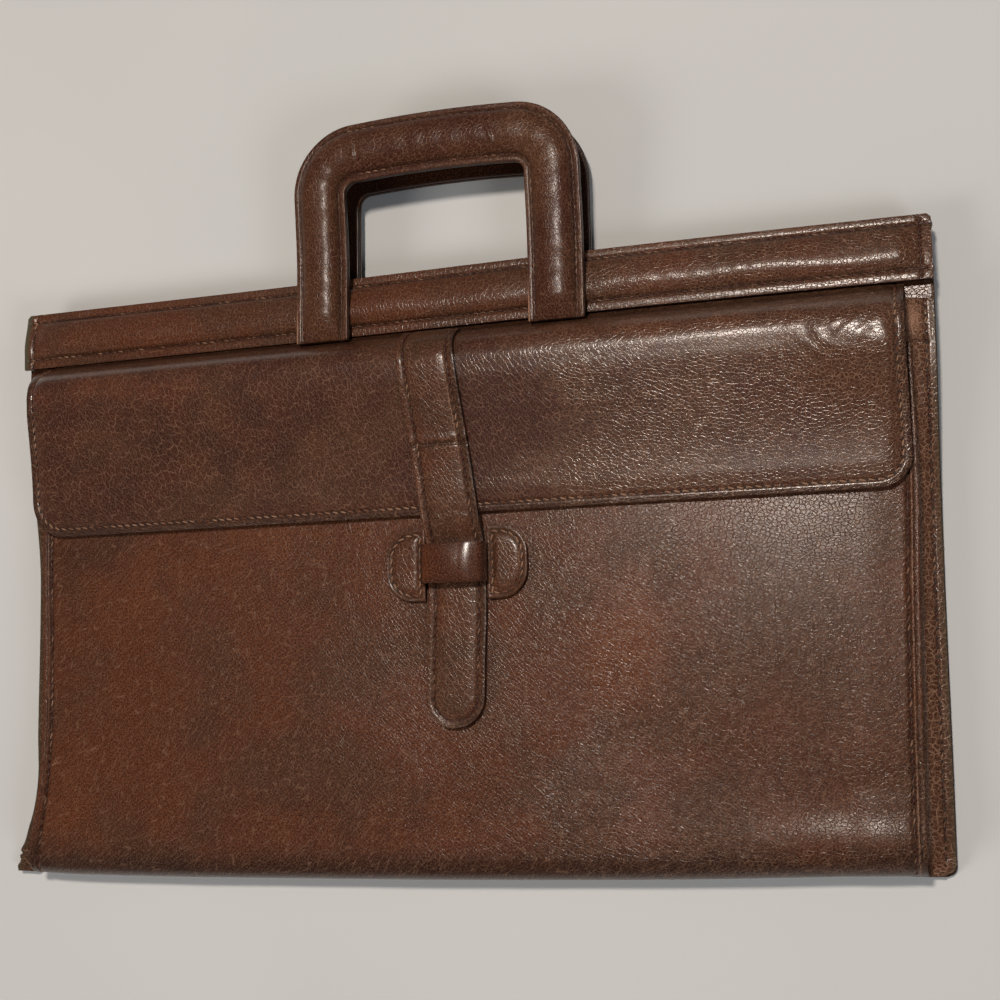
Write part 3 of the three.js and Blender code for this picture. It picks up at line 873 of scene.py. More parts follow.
class CASE_OT_gussets(bpy.types.Operator):
    """Side gussets, creased, sloping from under the front panel to the back panel's edge."""

    bl_idname = "document_case.gussets"
    bl_label = "Gussets"

    def execute(self, context):
        ply = sizes().ply / MM
        start = BOTTOM + ply + GAP
        length = GUSSET_HIGH[1] - start
        for side, name in ((-1, "gusset_left"), (1, "gusset_right")):
            def surface(u, v):
                share = 1 - u if side > 0 else u
                reach = END_REACH * (1 - ease(0.45, 0.7, share)) * (1 - ease(0, 18, v))
                y = start + v - reach
                across = read_table(GUSSET_SECTION, 1, share)
                height = read_table(GUSSET_SECTION, 2, share)
                low = back_under(y) + ply + GAP + ply
                high = low + (FRONT_FACE - ply - 2 * GAP - 1.0 - low) * ease(0.5, GUSSET_PINCH, y - BOTTOM)
                inner = front_edge(side, y) - side * GUSSET_FLANGE
                outer = back_edge(side, y) - side * 0.3
                wrinkles = 0.3 * np.sin(v / 5.3 + 2 * np.sin(v / 23)) * hump(share, 0.5, 0.14)
                wrinkles = wrinkles + 0.22 * np.sin(v / 2.3 + 1) * hump(share, 0.42, 0.1) * hump(v, 30, 60)
                pleats = 0.9 * hump(v - 3 - 14 * (share - 0.2), 0, 1.4)
                pleats = pleats - 0.8 * hump(v - 7 - 18 * (share - 0.2), 0, 1.2)
                pleats = 0.6 * pleats * hump(share, 0.4, 0.25) * (1 - ease(4, 20, v)) * ease(0, 3, v)
                tab = 0.9 * ease(TAB_CREASE, TAB_CREASE + 3, y) - 0.9 * hump(y, TAB_CREASE, 1.0)
                x = outer + (inner - outer) * across
                sewn = 0.8 * seam_pull((share - GUSSET_SEAM_SHARE) * 14)
                uneven = (wrinkles - sewn) * ease(2, 8, v)
                rise = (high - low) * height + uneven + pleats + tab * hump(share, 0.55, 0.25)
                return x, settled(x, y), low + rise

            def marks(u, v):
                share = 1 - u if side > 0 else u
                groove = 0.4 * hump(share, GUSSET_SEAM_SHARE, 0.05) + 0.5 * hump(share, 0, 0.08)
                # Painted highlight: the tab above the crease is pale, and the crease below it is darker as
                # painted shade.
                rub_and_highlight = 0.4 * hump(start + v, TAB_CREASE + 9, 8) * hump(share, 0.6, 0.3)
                crease = 0.6 * hump(start + v, TAB_CREASE, 1.2)
                # Painted sheen: the right gusset is lighter.
                rub_and_highlight = rub_and_highlight + 0.3 * (side > 0) * hump(share, 0.45, 0.3)
                raw = 0.5 * hump(share, 0, 0.1) + 0 * v
                # Painted shade: the left gusset is darker.
                return {"dark": groove + crease + 0.5 * (side < 0), "raw": raw, "worn": rub_and_highlight}

            across = np.linspace(0, 1, 45)
            rows = tuple(np.arange(0.5, 26, 0.8))
            along = lines_at(length, 2.4, (TAB_CREASE - start,), ends=rows)
            make_sheet(name, "gusset_cowhide", across, along, surface, marks)
            at = 1 - GUSSET_SEAM_SHARE if side > 0 else GUSSET_SEAM_SHARE
            v = np.linspace(6, length - 2, 120)
            stitching(name + "_stitching", [seam_on(surface, at, v, 0.3)])
        return {"FINISHED"}


# Top band

BAND_TOP_SEAM = 4.0
BAND_LOW_SEAM = 4.5
BAND_END_SEAM = 4.5
BAND_EDGE = 2.2
BAND_PAD = 2.5
ROOT_LAP = 7.0


def band_face(x, y):
    """Height of the band's outer face: thin sewn margins round a padded roll."""
    from_low = y - BAND_LOW[1]
    height = BAND_HIGH[1] - BAND_LOW[1]
    base = BAND_LOW[2] + (PLY + GAP) * (1 - ease(0.3, 1.0, from_low / height)) + BAND_EDGE
    across = (from_low - BAND_LOW_SEAM) / (height - BAND_LOW_SEAM - BAND_TOP_SEAM)
    roll = np.clip(1 - np.abs(2 * across - 1) ** 2.6, 0, 1) ** 0.75
    to_end = BACK_HIGH[0] - np.abs(x)
    return base + BAND_PAD * roll * ease(BAND_END_SEAM, BAND_END_SEAM + 9, to_end)


class CASE_OT_top_band(bpy.types.Operator):
    """Padded band along the top edge, sewn down on all four sides."""

    bl_idname = "document_case.top_band"
    bl_label = "Top band"

    def execute(self, context):
        width = 2 * BACK_HIGH[0]
        height = BAND_HIGH[1] - BAND_LOW[1]

        def surface(u, v):
            y = BAND_LOW[1] + v
            x = across_sheet(back_edge, y, u / width)
            plain = u - width / 2
            to_end = np.minimum(u, width - u)
            middle = hump(v, height / 2, height / 4.5)
            ripple = 0.11 * np.sin(u / 1.25 + 2.5 * np.sin(u / 11)) * middle
            ripple = ripple * ease(width * 0.45, width * 0.8, u)
            slack = (0.35 * np.sin(u / 23) + 0.25 * np.sin(u / 9.1 + 1)) * middle
            pull = np.maximum(seam_pull(v - BAND_LOW_SEAM), seam_pull(height - v - BAND_TOP_SEAM))
            pull = np.maximum(pull, seam_pull(to_end - BAND_END_SEAM))
            pull = pull * ease(0, 2.5, np.minimum(to_end, np.minimum(v, height - v)))
            return x, settled(x, y), band_face(plain, y) - 1.2 * pull + ripple + slack

        def marks(u, v):
            to_end = np.minimum(u, width - u)
            seams = np.maximum(hump(v, BAND_LOW_SEAM, 1.1), hump(height - v, BAND_TOP_SEAM, 1.0))
            seams = np.maximum(seams, hump(to_end, BAND_END_SEAM, 1.0))
            # Painted highlight: a pale line along the lip on the right half of the band.
            lip = 0.22 * hump(v, 1.4, 1.2) * ease(width * 0.55, width * 0.75, u)
            return {"dark": 0.6 * seams, "raw": 0.95 * (1 - ease(1.9, 2.5, u)), "worn": lip}

        across = lines_at(width, 1.9, (BAND_END_SEAM, width - BAND_END_SEAM), ends=(1.0, 1.9, 2.4))
        along = lines_at(height, 1.5, (BAND_LOW_SEAM, height - BAND_TOP_SEAM))
        make_sheet("top_band", "band_cowhide", across, along, surface, marks)
        u = np.linspace(2.5, width - 2.5, 260)
        v = np.linspace(1.5, height - 1.5, 24)
        rows = [seam_on(surface, u, at) for at in (BAND_LOW_SEAM, height - BAND_TOP_SEAM)]
        rows += [seam_on(surface, at, v) for at in (BAND_END_SEAM, width - BAND_END_SEAM)]
        stitching("top_band_stitching", rows)
        return {"FINISHED"}


# Flap in side view. down: share of the way from the root to the lower edge,
# height: share of the bulge, line: share of the climb from the root's level to the front panel's.
FLAP_SECTION = [
    (0.0, 0.0, 0.0), (0.075, 0.0, 0.0), (0.095, 0.14, 0.12), (0.12, 0.42, 0.35), (0.15, 0.72, 0.6),
    (0.19, 0.92, 0.82), (0.25, 1.0, 0.96), (0.34, 0.93, 1.0), (0.48, 0.66, 1.0), (0.62, 0.38, 1.0),
    (0.78, 0.13, 1.0), (0.9, 0.03, 1.0), (1.0, 0.0, 1.0),
]
FLAP_BULGE = 8.0
# Radius of the left and of the right lower corner.
FLAP_CORNERS = (17.0, 13.0)
FLAP_SEAM = 3.3
RIM_LIFT = 0.5
FLAP_MIDDLE = (FLAP_LOW[0] + FLAP_HIGH[0]) / 2
FLAP_HALF = (FLAP_HIGH[0] - FLAP_LOW[0]) / 2
FLAP_ROOT_FACE = BACK_HIGH[2] + GAP + PLY
FLAP_EDGE_FACE = FRONT_FACE + GAP + PLY


def flap_rise(x, y):
    """Height of the flap's outer face."""
    down = (FLAP_HIGH[1] - y) / (FLAP_HIGH[1] - FLAP_LOW[1])
    line = FLAP_ROOT_FACE + (FLAP_EDGE_FACE - FLAP_ROOT_FACE) * read_table(FLAP_SECTION, 2, down)
    soft = ease(0.12, 0.25, down)
    right_puff = 2.8 * hump(x, FLAP_HIGH[0] - 17, 24) * hump(down, 0.38, 0.17)
    left_puff = 1.0 * hump(x, FLAP_LOW[0] + 18, 20) * hump(down, 0.36, 0.2)
    bulge = FLAP_BULGE * read_table(FLAP_SECTION, 1, down) * (1 + 0.05 * np.sin(x / 47 + 1))
    return line + bulge + soft * (swell(x, y) * 0.6 + right_puff + left_puff)


def flap_inset(x, y):
    """Distance of a point in from the flap's sewn outline, with its round lower corners."""
    aside = FLAP_HALF - np.abs(x - FLAP_MIDDLE)
    above = y - FLAP_LOW[1]
    radius = np.where(x < FLAP_MIDDLE, *FLAP_CORNERS)
    corner_x = np.maximum(radius - aside, 0)
    corner_y = np.maximum(radius - above, 0)
    round_inset = radius - np.hypot(corner_x, corner_y)
    return np.where((corner_x > 0) & (corner_y > 0), round_inset, np.minimum(aside, above))


def flap_face(x, y):
    """Height of the flap's face with its padded edge, drooping ends and creased right corner."""
    inset = flap_inset(x, y)
    pad = 0.5 * ease(FLAP_SEAM, FLAP_SEAM + 7, inset)
    down = (FLAP_HIGH[1] - y) / (FLAP_HIGH[1] - FLAP_LOW[1])
    droop = 0.9 * (1 - ease(0, 9, FLAP_HALF - np.abs(x - FLAP_MIDDLE))) * ease(0.1, 0.2, down)
    corner = hump(x, FLAP_HIGH[0] - 22, 22) * hump(down, 0.3, 0.17)
    crinkles = np.sin(x / 1.9 + 1.5 * np.sin(y / 3.1)) * np.sin(y / 1.6 + 1.7 * np.sin(x / 4.3))
    fold = 0.9 * hump(x - (FLAP_HIGH[0] - 8) - 0.05 * y, 0, 2.4) * hump(y, 26, 18)
    lift = RIM_LIFT * np.clip(inset / FLAP_SEAM, 0, 1) * ease(0.12, 0.25, down)
    return flap_rise(x, y) + pad + lift - droop + 0.2 * crinkles * corner + fold


class CASE_OT_flap(bpy.types.Operator):
    """Flap: rolled at its root, bulging, and sewn round its edge."""

    bl_idname = "document_case.flap"
    bl_label = "Flap"

    def execute(self, context):
        width = 2 * FLAP_HALF
        run = FLAP_HIGH[1] - FLAP_LOW[1]

        def halves_at(v):
            return [FLAP_HALF - corner_cut(v, radius) for radius in FLAP_CORNERS]

        def surface(u, v):
            y = FLAP_LOW[1] + v
            left, right = halves_at(v)
            x = FLAP_MIDDLE - left + (left + right) * u / width
            return x, y, flap_face(x, y) - 1.2 * seam_pull(flap_inset(x, y) - FLAP_SEAM)

        def marks(u, v):
            x, y = surface(u, v)[:2]
            inset = flap_inset(x, y)
            seam = 0.55 * hump(inset, FLAP_SEAM, 1.1) * (y < FLAP_HIGH[1] - ROOT_LAP)
            rim = 0.8 * (1 - ease(0.5, FLAP_SEAM - 0.3, inset))
            crest = hump(v, run * 0.77, run * 0.07) * ease(FLAP_MIDDLE, FLAP_HIGH[0] - 30, x)
            # Painted shade: the flap is darker near its root, where it comes out from under the band.
            return {"dark": 0.7 * hump(v, run - 5, 6) + seam + rim, "worn": 0.22 * crest}

        near = tuple(np.arange(1, 15, 1.0))
        right = tuple(width - 15 - np.arange(0, 40, 0.9))
        across = lines_at(width, 2.2, (FLAP_SEAM, width - FLAP_SEAM),
                          ends=near + tuple(width - np.array(near)) + right)
        along = lines_at(run, 1.0, (FLAP_SEAM,), ends=(0.2, 0.5, 1.0, 1.6) + near)
        make_sheet("flap", "flap_cowhide", across, along, surface, marks)

        low = FLAP_LOW[1] + FLAP_SEAM
        turn = np.linspace(0, math.pi / 2, 16)
        halves = []
        for side, radius in zip((-1, 1), FLAP_CORNERS):
            inner = radius - FLAP_SEAM
            down = np.linspace(FLAP_HIGH[1] - ROOT_LAP - 2, low + inner, 60)
            edge = FLAP_MIDDLE + side * (FLAP_HALF - FLAP_SEAM)
            flat = np.linspace(edge - side * inner, FLAP_MIDDLE, 110)
            x = np.concatenate([0 * down + edge, edge - side * inner * (1 - np.cos(turn)), flat])
            y = np.concatenate([down, low + inner * (1 - np.sin(turn)), 0 * flat + low])
            halves.append((x, y))
        x = np.concatenate([halves[0][0], halves[1][0][-2::-1]])
        y = np.concatenate([halves[0][1], halves[1][1][-2::-1]])
        v = y - FLAP_LOW[1]
        left, right = halves_at(v)
        seam = seam_on(surface, (x - FLAP_MIDDLE + left) / (left + right) * width, v)
        stitching("flap_stitching", [seam], "waxed_thread")
        return {"FINISHED"}


# Strap. along: share of its length from the root, aside: share of its width from the flap's middle.
STRAP_LINE = [
    (0.0, -0.02), (0.15, 0.09), (0.3, 0.2), (0.45, 0.31), (0.58, 0.39), (0.68, 0.41), (0.8, 0.38),
    (1.0, 0.34),
]
STRAP_WIDTH = 25.0
STRAP_SEAM = 3.0
STRAP_JOIN = 0.305
STEP_DOWN = 12.0


def strap_centre(y):
    """Middle of the strap, which is pulled to one side."""
    along = (STRAP_HIGH[1] - y) / (STRAP_HIGH[1] - STRAP_LOW[1])
    return FLAP_MIDDLE + STRAP_WIDTH * read_table(STRAP_LINE, 1, along)


def strap_under(y):
    """Height of what the strap lies on: the flap, then the front panel below its edge."""
    x = strap_centre(y)
    on_flap = flap_face(x, np.maximum(y, FLAP_LOW[1])) + GAP
    on_front = front_face(x, y) + GAP
    return on_front + (on_flap - on_front) * ease(FLAP_LOW[1] - STEP_DOWN, FLAP_LOW[1] - 1, y)


class CASE_OT_strap(bpy.types.Operator):
    """Strap: sewn down the flap, free over its edge, with a round end."""

    bl_idname = "document_case.strap"
    bl_label = "Strap"

    def execute(self, context):
        run = STRAP_HIGH[1] - STRAP_LOW[1]
        half = STRAP_WIDTH / 2
        ply = sizes().strap_ply / MM

        def half_at(v):
            return half - corner_cut(v, half)

        def inset_of(x, y):
            above = y - STRAP_LOW[1]
            aside = np.abs(x - strap_centre(y))
            return half - np.where(above < half, np.hypot(half - above, aside), aside)

        def surface(u, v):
            y = STRAP_LOW[1] + v
            x = strap_centre(y) + (u / STRAP_WIDTH * 2 - 1) * half_at(v)
            along = 1 - v / run
            inset = inset_of(x, y)
            pad = 0.45 * ease(STRAP_SEAM, STRAP_SEAM + 5, inset)
            join = 0.7 * hump(along, STRAP_JOIN, 0.0045) - 0.35 * hump(along, STRAP_JOIN - 0.012, 0.008)
            return x, y, strap_under(y) + ply + pad - join - seam_pull(inset - STRAP_SEAM)

        def marks(u, v):
            x, y = surface(u, v)[:2]
            inset = inset_of(x, y)
            join = hump(1 - v / run, STRAP_JOIN, 0.006)
            # Painted highlights on rubbed leather: a pale line inside the right seam and one along the left
            # edge.
            rub_and_highlight = 0.55 * hump(u, STRAP_WIDTH - STRAP_SEAM - 1.4, 0.8) * hump(v, run * 0.74, run * 0.2)
            rub_and_highlight = rub_and_highlight + 0.5 * hump(u, 0.8, 0.7) * hump(v, run * 0.5, run * 0.35)
            # The right rim is darker: partly its dark painted edge, partly a painted shadow.
            rim = 0.9 * (1 - ease(0.6, 2.2, inset)) * (u > STRAP_WIDTH / 2)
            return {"dark": 0.45 * hump(inset, STRAP_SEAM, 0.9) + 0.7 * join + 0.15 + rim, "worn": rub_and_highlight}

        across = lines_at(STRAP_WIDTH, 1.5, (STRAP_SEAM, STRAP_WIDTH - STRAP_SEAM))
        tip = tuple(half * (1 - np.cos(np.linspace(0.12, math.pi / 2, 14))))
        along = lines_at(run, 1.3, (run * (1 - STRAP_JOIN),), ends=tip)
        make_sheet("closure_strap", "strap_cowhide", across, along, surface, marks,
                   sizes().strap_ply)

        inner = half - STRAP_SEAM
        y = np.linspace(STRAP_HIGH[1] - 2, STRAP_LOW[1] + half, 120)
        turn = np.linspace(0, math.pi, 26)
        middle = strap_centre(STRAP_LOW[1] + half)
        x = np.concatenate([strap_centre(y) - inner, middle - inner * np.cos(turn),
                            strap_centre(y[::-1]) + inner])
        y = np.concatenate([y, STRAP_LOW[1] + half - inner * np.sin(turn), y[::-1]])
        v = y - STRAP_LOW[1]
        seam = seam_on(surface, ((x - strap_centre(y)) / half_at(v) + 1) / 2 * STRAP_WIDTH, v)
        stitching("closure_strap_stitching", [seam])
        return {"FINISHED"}


# Keeper

TAB_SEAM = 2.3
TAB_CORNER = 12.0
LOOP_REACH = 3.0
LOOP_TUCK = 0.65


class CASE_OT_keeper(bpy.types.Operator):
    """Keeper: two sewn tabs beside the strap and the loop across it."""

    bl_idname = "document_case.keeper"
    bl_label = "Keeper"

    def make_tab(self, side, name, low, high):
        ply = sizes().ply / MM
        inner = high[0] if side < 0 else low[0]
        reach = high[0] - low[0]
        height = high[1] - low[1]

        def reach_at(v):
            return reach - corner_cut(np.minimum(v, height - v), TAB_CORNER)

        def inset_of(out, v):
            end = np.minimum(v, height - v)
            into = np.maximum(TAB_CORNER - end, 0)
            beyond = np.maximum(out - (reach - TAB_CORNER), 0)
            round_end = TAB_CORNER - np.hypot(into, beyond)
            return np.minimum(np.minimum(out, end), np.where(beyond > 0, round_end, reach - out))

        def surface(u, v):
            out = (u if side > 0 else 1 - u) * reach_at(v)
            inset = inset_of(out, v)
            x, y = inner + side * out, low[1] + v
            pad = 0.5 * ease(TAB_SEAM, TAB_SEAM + 3, inset) + 0.3 * hump(inset, 0.9, 0.6)
            return x, y, front_face(x, y) + GAP + ply + pad - 0.9 * seam_pull(inset - TAB_SEAM)

        def marks(u, v):
            out = (u if side > 0 else 1 - u) * reach_at(v)
            inset = inset_of(out, v)
            # Painted highlight on rubbed leather: a pale ridge on the outer half of the right tab.
            rub_and_highlight = 0.5 * hump(inset, TAB_SEAM + 1.2, 0.8) * hump(v, height / 2, height * 0.3)
            rub_and_highlight = rub_and_highlight * (out > reach / 2) * (side > 0)
            return {"dark": 0.5 * hump(inset, TAB_SEAM, 0.8) + 0.2, "worn": rub_and_highlight}

        along = lines_at(height, 0.8, (), ends=(0.15, 0.4, height - 0.15, height - 0.4))
        across = np.linspace(0, 1, 29)
        make_sheet(name, "strap_cowhide", across, along, surface, marks)

        radius = TAB_CORNER - TAB_SEAM
        turn = np.linspace(0, math.pi / 2, 14)
        out = np.concatenate([[TAB_SEAM], reach - TAB_CORNER + radius * np.sin(turn)])
        up = np.concatenate([[TAB_SEAM], TAB_CORNER - radius * np.cos(turn)])
        out = np.concatenate([out, out[::-1], out[:1]])
        up = np.concatenate([up, height - up[::-1], up[:1]])
        u = out / reach_at(up)
        seam = seam_on(surface, u if side > 0 else 1 - u, up)
        stitching(name + "_stitching", [seam], "waxed_thread")

    def make_loop(self):
        middle = (LOOP_LOW[0] + LOOP_HIGH[0]) / 2
        half = (LOOP_HIGH[0] - LOOP_LOW[0]) / 2
        height = LOOP_HIGH[1] - LOOP_LOW[1]
        ply = sizes().loop_ply / MM
        crown = LOOP_HIGH[2] - LOOP_LOW[2] - ply
        inner = half - LOOP_REACH

        def surface(u, v):
            aside = u - half
            arched = np.sqrt(np.clip(1 - (np.abs(aside) / inner) ** 2.6, 0, 1))
            waist = 1 - 0.05 * (1 - hump(aside, inner * 0.3, inner))
            y = LOOP_LOW[1] + height / 2 + (v - height / 2) * waist
            bow = 0.8 * (1 - (2 * v / height - 1) ** 2) * hump(aside, 0, inner * 0.8)
            lean = 1.1 * hump(aside, inner * 0.5, inner * 0.5)
            slope = 0.9 * np.clip((half - np.abs(aside)) / LOOP_REACH, 0, 1)
            tucked = LOOP_TUCK * np.clip(np.abs(aside) - inner, 0, LOOP_REACH) * np.sign(aside)
            rise = crown * arched + bow + np.maximum(lean, slope)
            return middle + aside - tucked, y, LOOP_LOW[2] + ply + rise

        across = lines_at(2 * half, 0.8, (LOOP_REACH, 2 * half - LOOP_REACH))
        along = lines_at(height, 1.2)

        def marks(u, v):
            rim = hump(np.minimum(v, height - v), 0, 1.2)
            # Painted shade: the flat ends, tucked under the tabs, are darker.
            ends = 1 - ease(LOOP_REACH - 0.5, LOOP_REACH + 1.2, np.minimum(u, 2 * half - u))
            return {"dark": 0.3 + 0.3 * rim + 0.7 * ends, "red": 0.6 * hump(u, 0.25 * half, 0.3 * half)}

        make_sheet("keeper_loop", "keeper_cowhide", across, along, surface, marks,
                   sizes().loop_ply)

    def execute(self, context):
        self.make_tab(-1, "keeper_tab_left", TAB_LOW, TAB_HIGH)
        self.make_tab(1, "keeper_tab_right", TAB_RIGHT_LOW, TAB_RIGHT_HIGH)
        self.make_loop()
        return {"FINISHED"}


# Hand loops

LEG_WIDTH = 24.0
BAR_WIDTH = 26.0
BAR_ARCH = 3.0
CORNER_RADIUS = 16.0
HANDLE_SEAM = 3.0
FLANGE = 1.8
PADDING = REAR_HIGH[2] - REAR_LOW[2]
BACKING_PLY = REAR_BACKING_HIGH[2] - REAR_BACKING_LOW[2]
END_TAPER = 12.0
FLOOR_GAP = 0.05
LEG_SIDE = (HANDLE_HIGH[0] - HANDLE_LOW[0] - LEG_WIDTH) / 2
BAR_Y = HANDLE_HIGH[1] - BAR_WIDTH / 2 - BAR_ARCH
LEG_RUN = BAR_Y - CORNER_RADIUS - HANDLE_LOW[1]
BAR_RUN = 2 * (LEG_SIDE - CORNER_RADIUS)
TURN_RUN = CORNER_RADIUS * math.pi / 2
HANDLE_RUN = 2 * (LEG_RUN + TURN_RUN) + BAR_RUN


def handle_line(distance):
    """Centre line of a hand loop: its place, its outward direction and its half width."""
    side = np.where(distance < 0, -1.0, 1.0)
    from_bar = np.maximum(0, np.abs(distance) - BAR_RUN / 2)
    angle = np.minimum(from_bar / CORNER_RADIUS, math.pi / 2)
    leg = np.maximum(0, from_bar - TURN_RUN)
    on_bar = from_bar < TURN_RUN
    arch = np.where(on_bar, BAR_ARCH * np.cos(math.pi * distance / (BAR_RUN + 2 * TURN_RUN)), 0)
    x = np.minimum(np.abs(distance), BAR_RUN / 2) + CORNER_RADIUS * np.sin(angle)
    y = BAR_Y + arch - CORNER_RADIUS * (1 - np.cos(angle)) - leg
    half = (BAR_WIDTH + (LEG_WIDTH - BAR_WIDTH) * ease(0, TURN_RUN, from_bar)) / 2
    return side * x, y, side * np.sin(angle), np.cos(angle), half


def handle_point(aside, distance):
    """A point of the hand loop's plan: aside runs from -1 on the outer edge to 1 on the inner edge."""
    x, y, out_x, out_y, half = handle_line(distance)
    return HANDLE_MIDDLE + x - out_x * aside * half, y - out_y * aside * half, half


def handle_dome(aside, half, distance):
    """Height of the padded cover above its back: a thin sewn flange round a soft roll."""
    from_edge = (1 - np.abs(aside)) * half
    into = np.clip((from_edge - HANDLE_SEAM) / (half - HANDLE_SEAM), 0, 1)
    roll = (1 - (1 - into) ** 2.3) ** 0.62
    from_end = HANDLE_RUN / 2 - np.abs(distance)
    taper = np.sqrt(ease(-0.5, END_TAPER, from_end))
    tuck = 0.35 * hump(np.abs(distance), BAR_RUN / 2 + TURN_RUN / 2, 9) * np.maximum(aside, 0)
    return FLANGE + (PADDING - FLANGE) * roll * taper - seam_pull(from_edge - HANDLE_SEAM) - tuck


# Slanting ridges where the cover is lapped on the bar: distance along the loop and slant.
LAPS = [{"at": -35.0, "slant": 1.0}, {"at": 27.0, "slant": 4.0}]


def lap_ridges(aside, distance):
    ridges = 0
    for lap in LAPS:
        ridges = ridges + 0.3 * hump(distance - lap["at"] - lap["slant"] * aside, 0, 0.7)
        ridges = ridges - 0.25 * hump(distance - lap["at"] - lap["slant"] * aside, 1.4, 0.7)
    return ridges


def front_seat(y):
    """Height of the front hand loop's underside."""
    rise = HANDLE_HIGH[2] - PADDING - HANDLE_LOW[2]
    return BACKING_LOW[2] + rise * ease(TOP, BAR_Y, y)


class CASE_OT_hand_loops(bpy.types.Operator):
    """Front and rear hand loops: padded covers sewn to flat backings."""

    bl_idname = "document_case.hand_loops"
    bl_label = "Hand loops"

    def make_loop(self, name, up, cover_base, backing_base):
        half_run = HANDLE_RUN / 2
        distances = lines_at(HANDLE_RUN, 1.5, [half_run + lap["at"] for lap in LAPS],
                             spread=(0.5, 1.0, 1.5, 2.0, 3.0, 4.0)) - half_run
        middle = BAR_WIDTH / 2
        across = (lines_at(BAR_WIDTH, 1.1, (HANDLE_SEAM, BAR_WIDTH - HANDLE_SEAM)) - middle) / middle

        def cover(u, v):
            x, y, half = handle_point(u * up, v)
            creases = 0.12 * np.sin(v / 1.7 + 2 * np.sin(v / 9)) * hump(u, 0, 0.45)
            rise = handle_dome(u, half, v) + lap_ridges(u, v) * (np.abs(u) < 0.8) + creases
            return x, y, np.maximum(cover_base(y) + up * rise, FLOOR_GAP)

        def under(u, v):
            x, y = handle_point(u * -up, v)[:2]
            return x, y, cover_base(y) + 0 * x

        def backing(u, v):
            x, y, half = handle_point(u * 0.985, v)
            pull = 0.3 * seam_pull((1 - np.abs(u)) * half - HANDLE_SEAM)
            return x, y, backing_base(y) + BACKING_PLY - pull

        def marks(u, v):
            half = handle_line(v)[4]
            from_edge = (1 - np.abs(u)) * half
            seam = 0.5 * hump(from_edge, HANDLE_SEAM, 0.9)
            near_end = 1 - ease(4, 34, half_run - np.abs(v))
            # Painted highlight on rubbed leather: the edges of the legs that face the light are pale near
            # their ends.
            facing = np.where(v < 0, -u, u)
            rub_and_highlight = 1.0 * near_end * (1 - ease(0.0, 1.4, from_edge)) * (facing > 0)
            grip = 0.16 * hump(u, -0.15, 0.3) * hump(v, -20, 46)
            # Painted shade: the rear loop, in the shadow of the front one, is nearly black.
            return {"dark": seam + (0.1 if up > 0 else 0.9), "worn": (rub_and_highlight + grip) * (up > 0)}

        # The rear loop takes the shaded cowhide of the backings: painted shade.
        recipe = "handle_cowhide" if up > 0 else "backing_cowhide"
        faces = [lay_grid(name + "_leather", across, distances, cover, marks),
                 lay_grid(name + "_under", across, distances, under, marks)]
        for face in faces:
            dress(face, recipe)
        top = join_pieces(name + "_leather", faces)
        bpy.ops.object.mode_set(mode="EDIT")
        bpy.ops.mesh.select_all(action="DESELECT")
        bpy.ops.mesh.select_non_manifold(extend=False)
        bpy.ops.mesh.bridge_edge_loops()
        bpy.ops.mesh.select_all(action="SELECT")
        bpy.ops.mesh.normals_make_consistent(inside=False)
        bpy.ops.object.mode_set(mode="OBJECT")
        round_edges(top)
        hand_over(top, name)

        # Painted shade: the backings lie in shadow and are darkened to nearly black.
        make_sheet(name + "_backing", "backing_cowhide", across, distances, backing,
                   lambda u, v: {"dark": 0.9 + 0 * u}, BACKING_PLY * MM)

        v = np.linspace(-half_run + 3, half_run - 3, 260)
        inset = 1 - HANDLE_SEAM / handle_line(v)[4]
        seams = [seam_on(cover, side * inset, v, STITCH_LIFT * up) for side in (-1, 1)]
        stitching(name + "_stitching", seams)

    def execute(self, context):
        self.make_loop("front_handle", 1, lambda y: front_seat(y) + BACKING_PLY + GAP, front_seat)
        self.make_loop("rear_handle", -1, lambda y: REAR_HIGH[2] + 0 * y,
                       lambda y: REAR_BACKING_LOW[2] + 0 * y)
        return {"FINISHED"}


# Stage

FLOOR_WIDTH = 8
# Soft lights: place and width in metres. Only the ceiling light mirrors in the wax.
LIGHTS = [
    {"name": "ceiling", "place": (0.06, 0.45, 1.57), "width": 0.2, "watts": 18, "tint": "#fff2e6",
     "mirrored": True},
    {"name": "left_fill", "place": (-1.5, -0.9, 1.2), "width": 0.9, "watts": 15, "tint": "#fff9f4",
     "mirrored": False},
    {"name": "right_fill", "place": (1.6, -1.3, 1.3), "width": 0.9, "watts": 15, "tint": "#f6f8ff",
     "mirrored": False},
]
WORLD = {"tint": "#eef0f4", "strength": 0.1}
# The photo's view: place in metres, turns in radians about X, Y and Z, and focal length in pixels.
IMAGE_WIDTH = 1000
SENSOR_WIDTH = 36
CAMERA = {"place": (0.21326, -0.10103, 0.60701), "turn": (0.142, 0.30464, -0.01755), "focal_px": 1500}


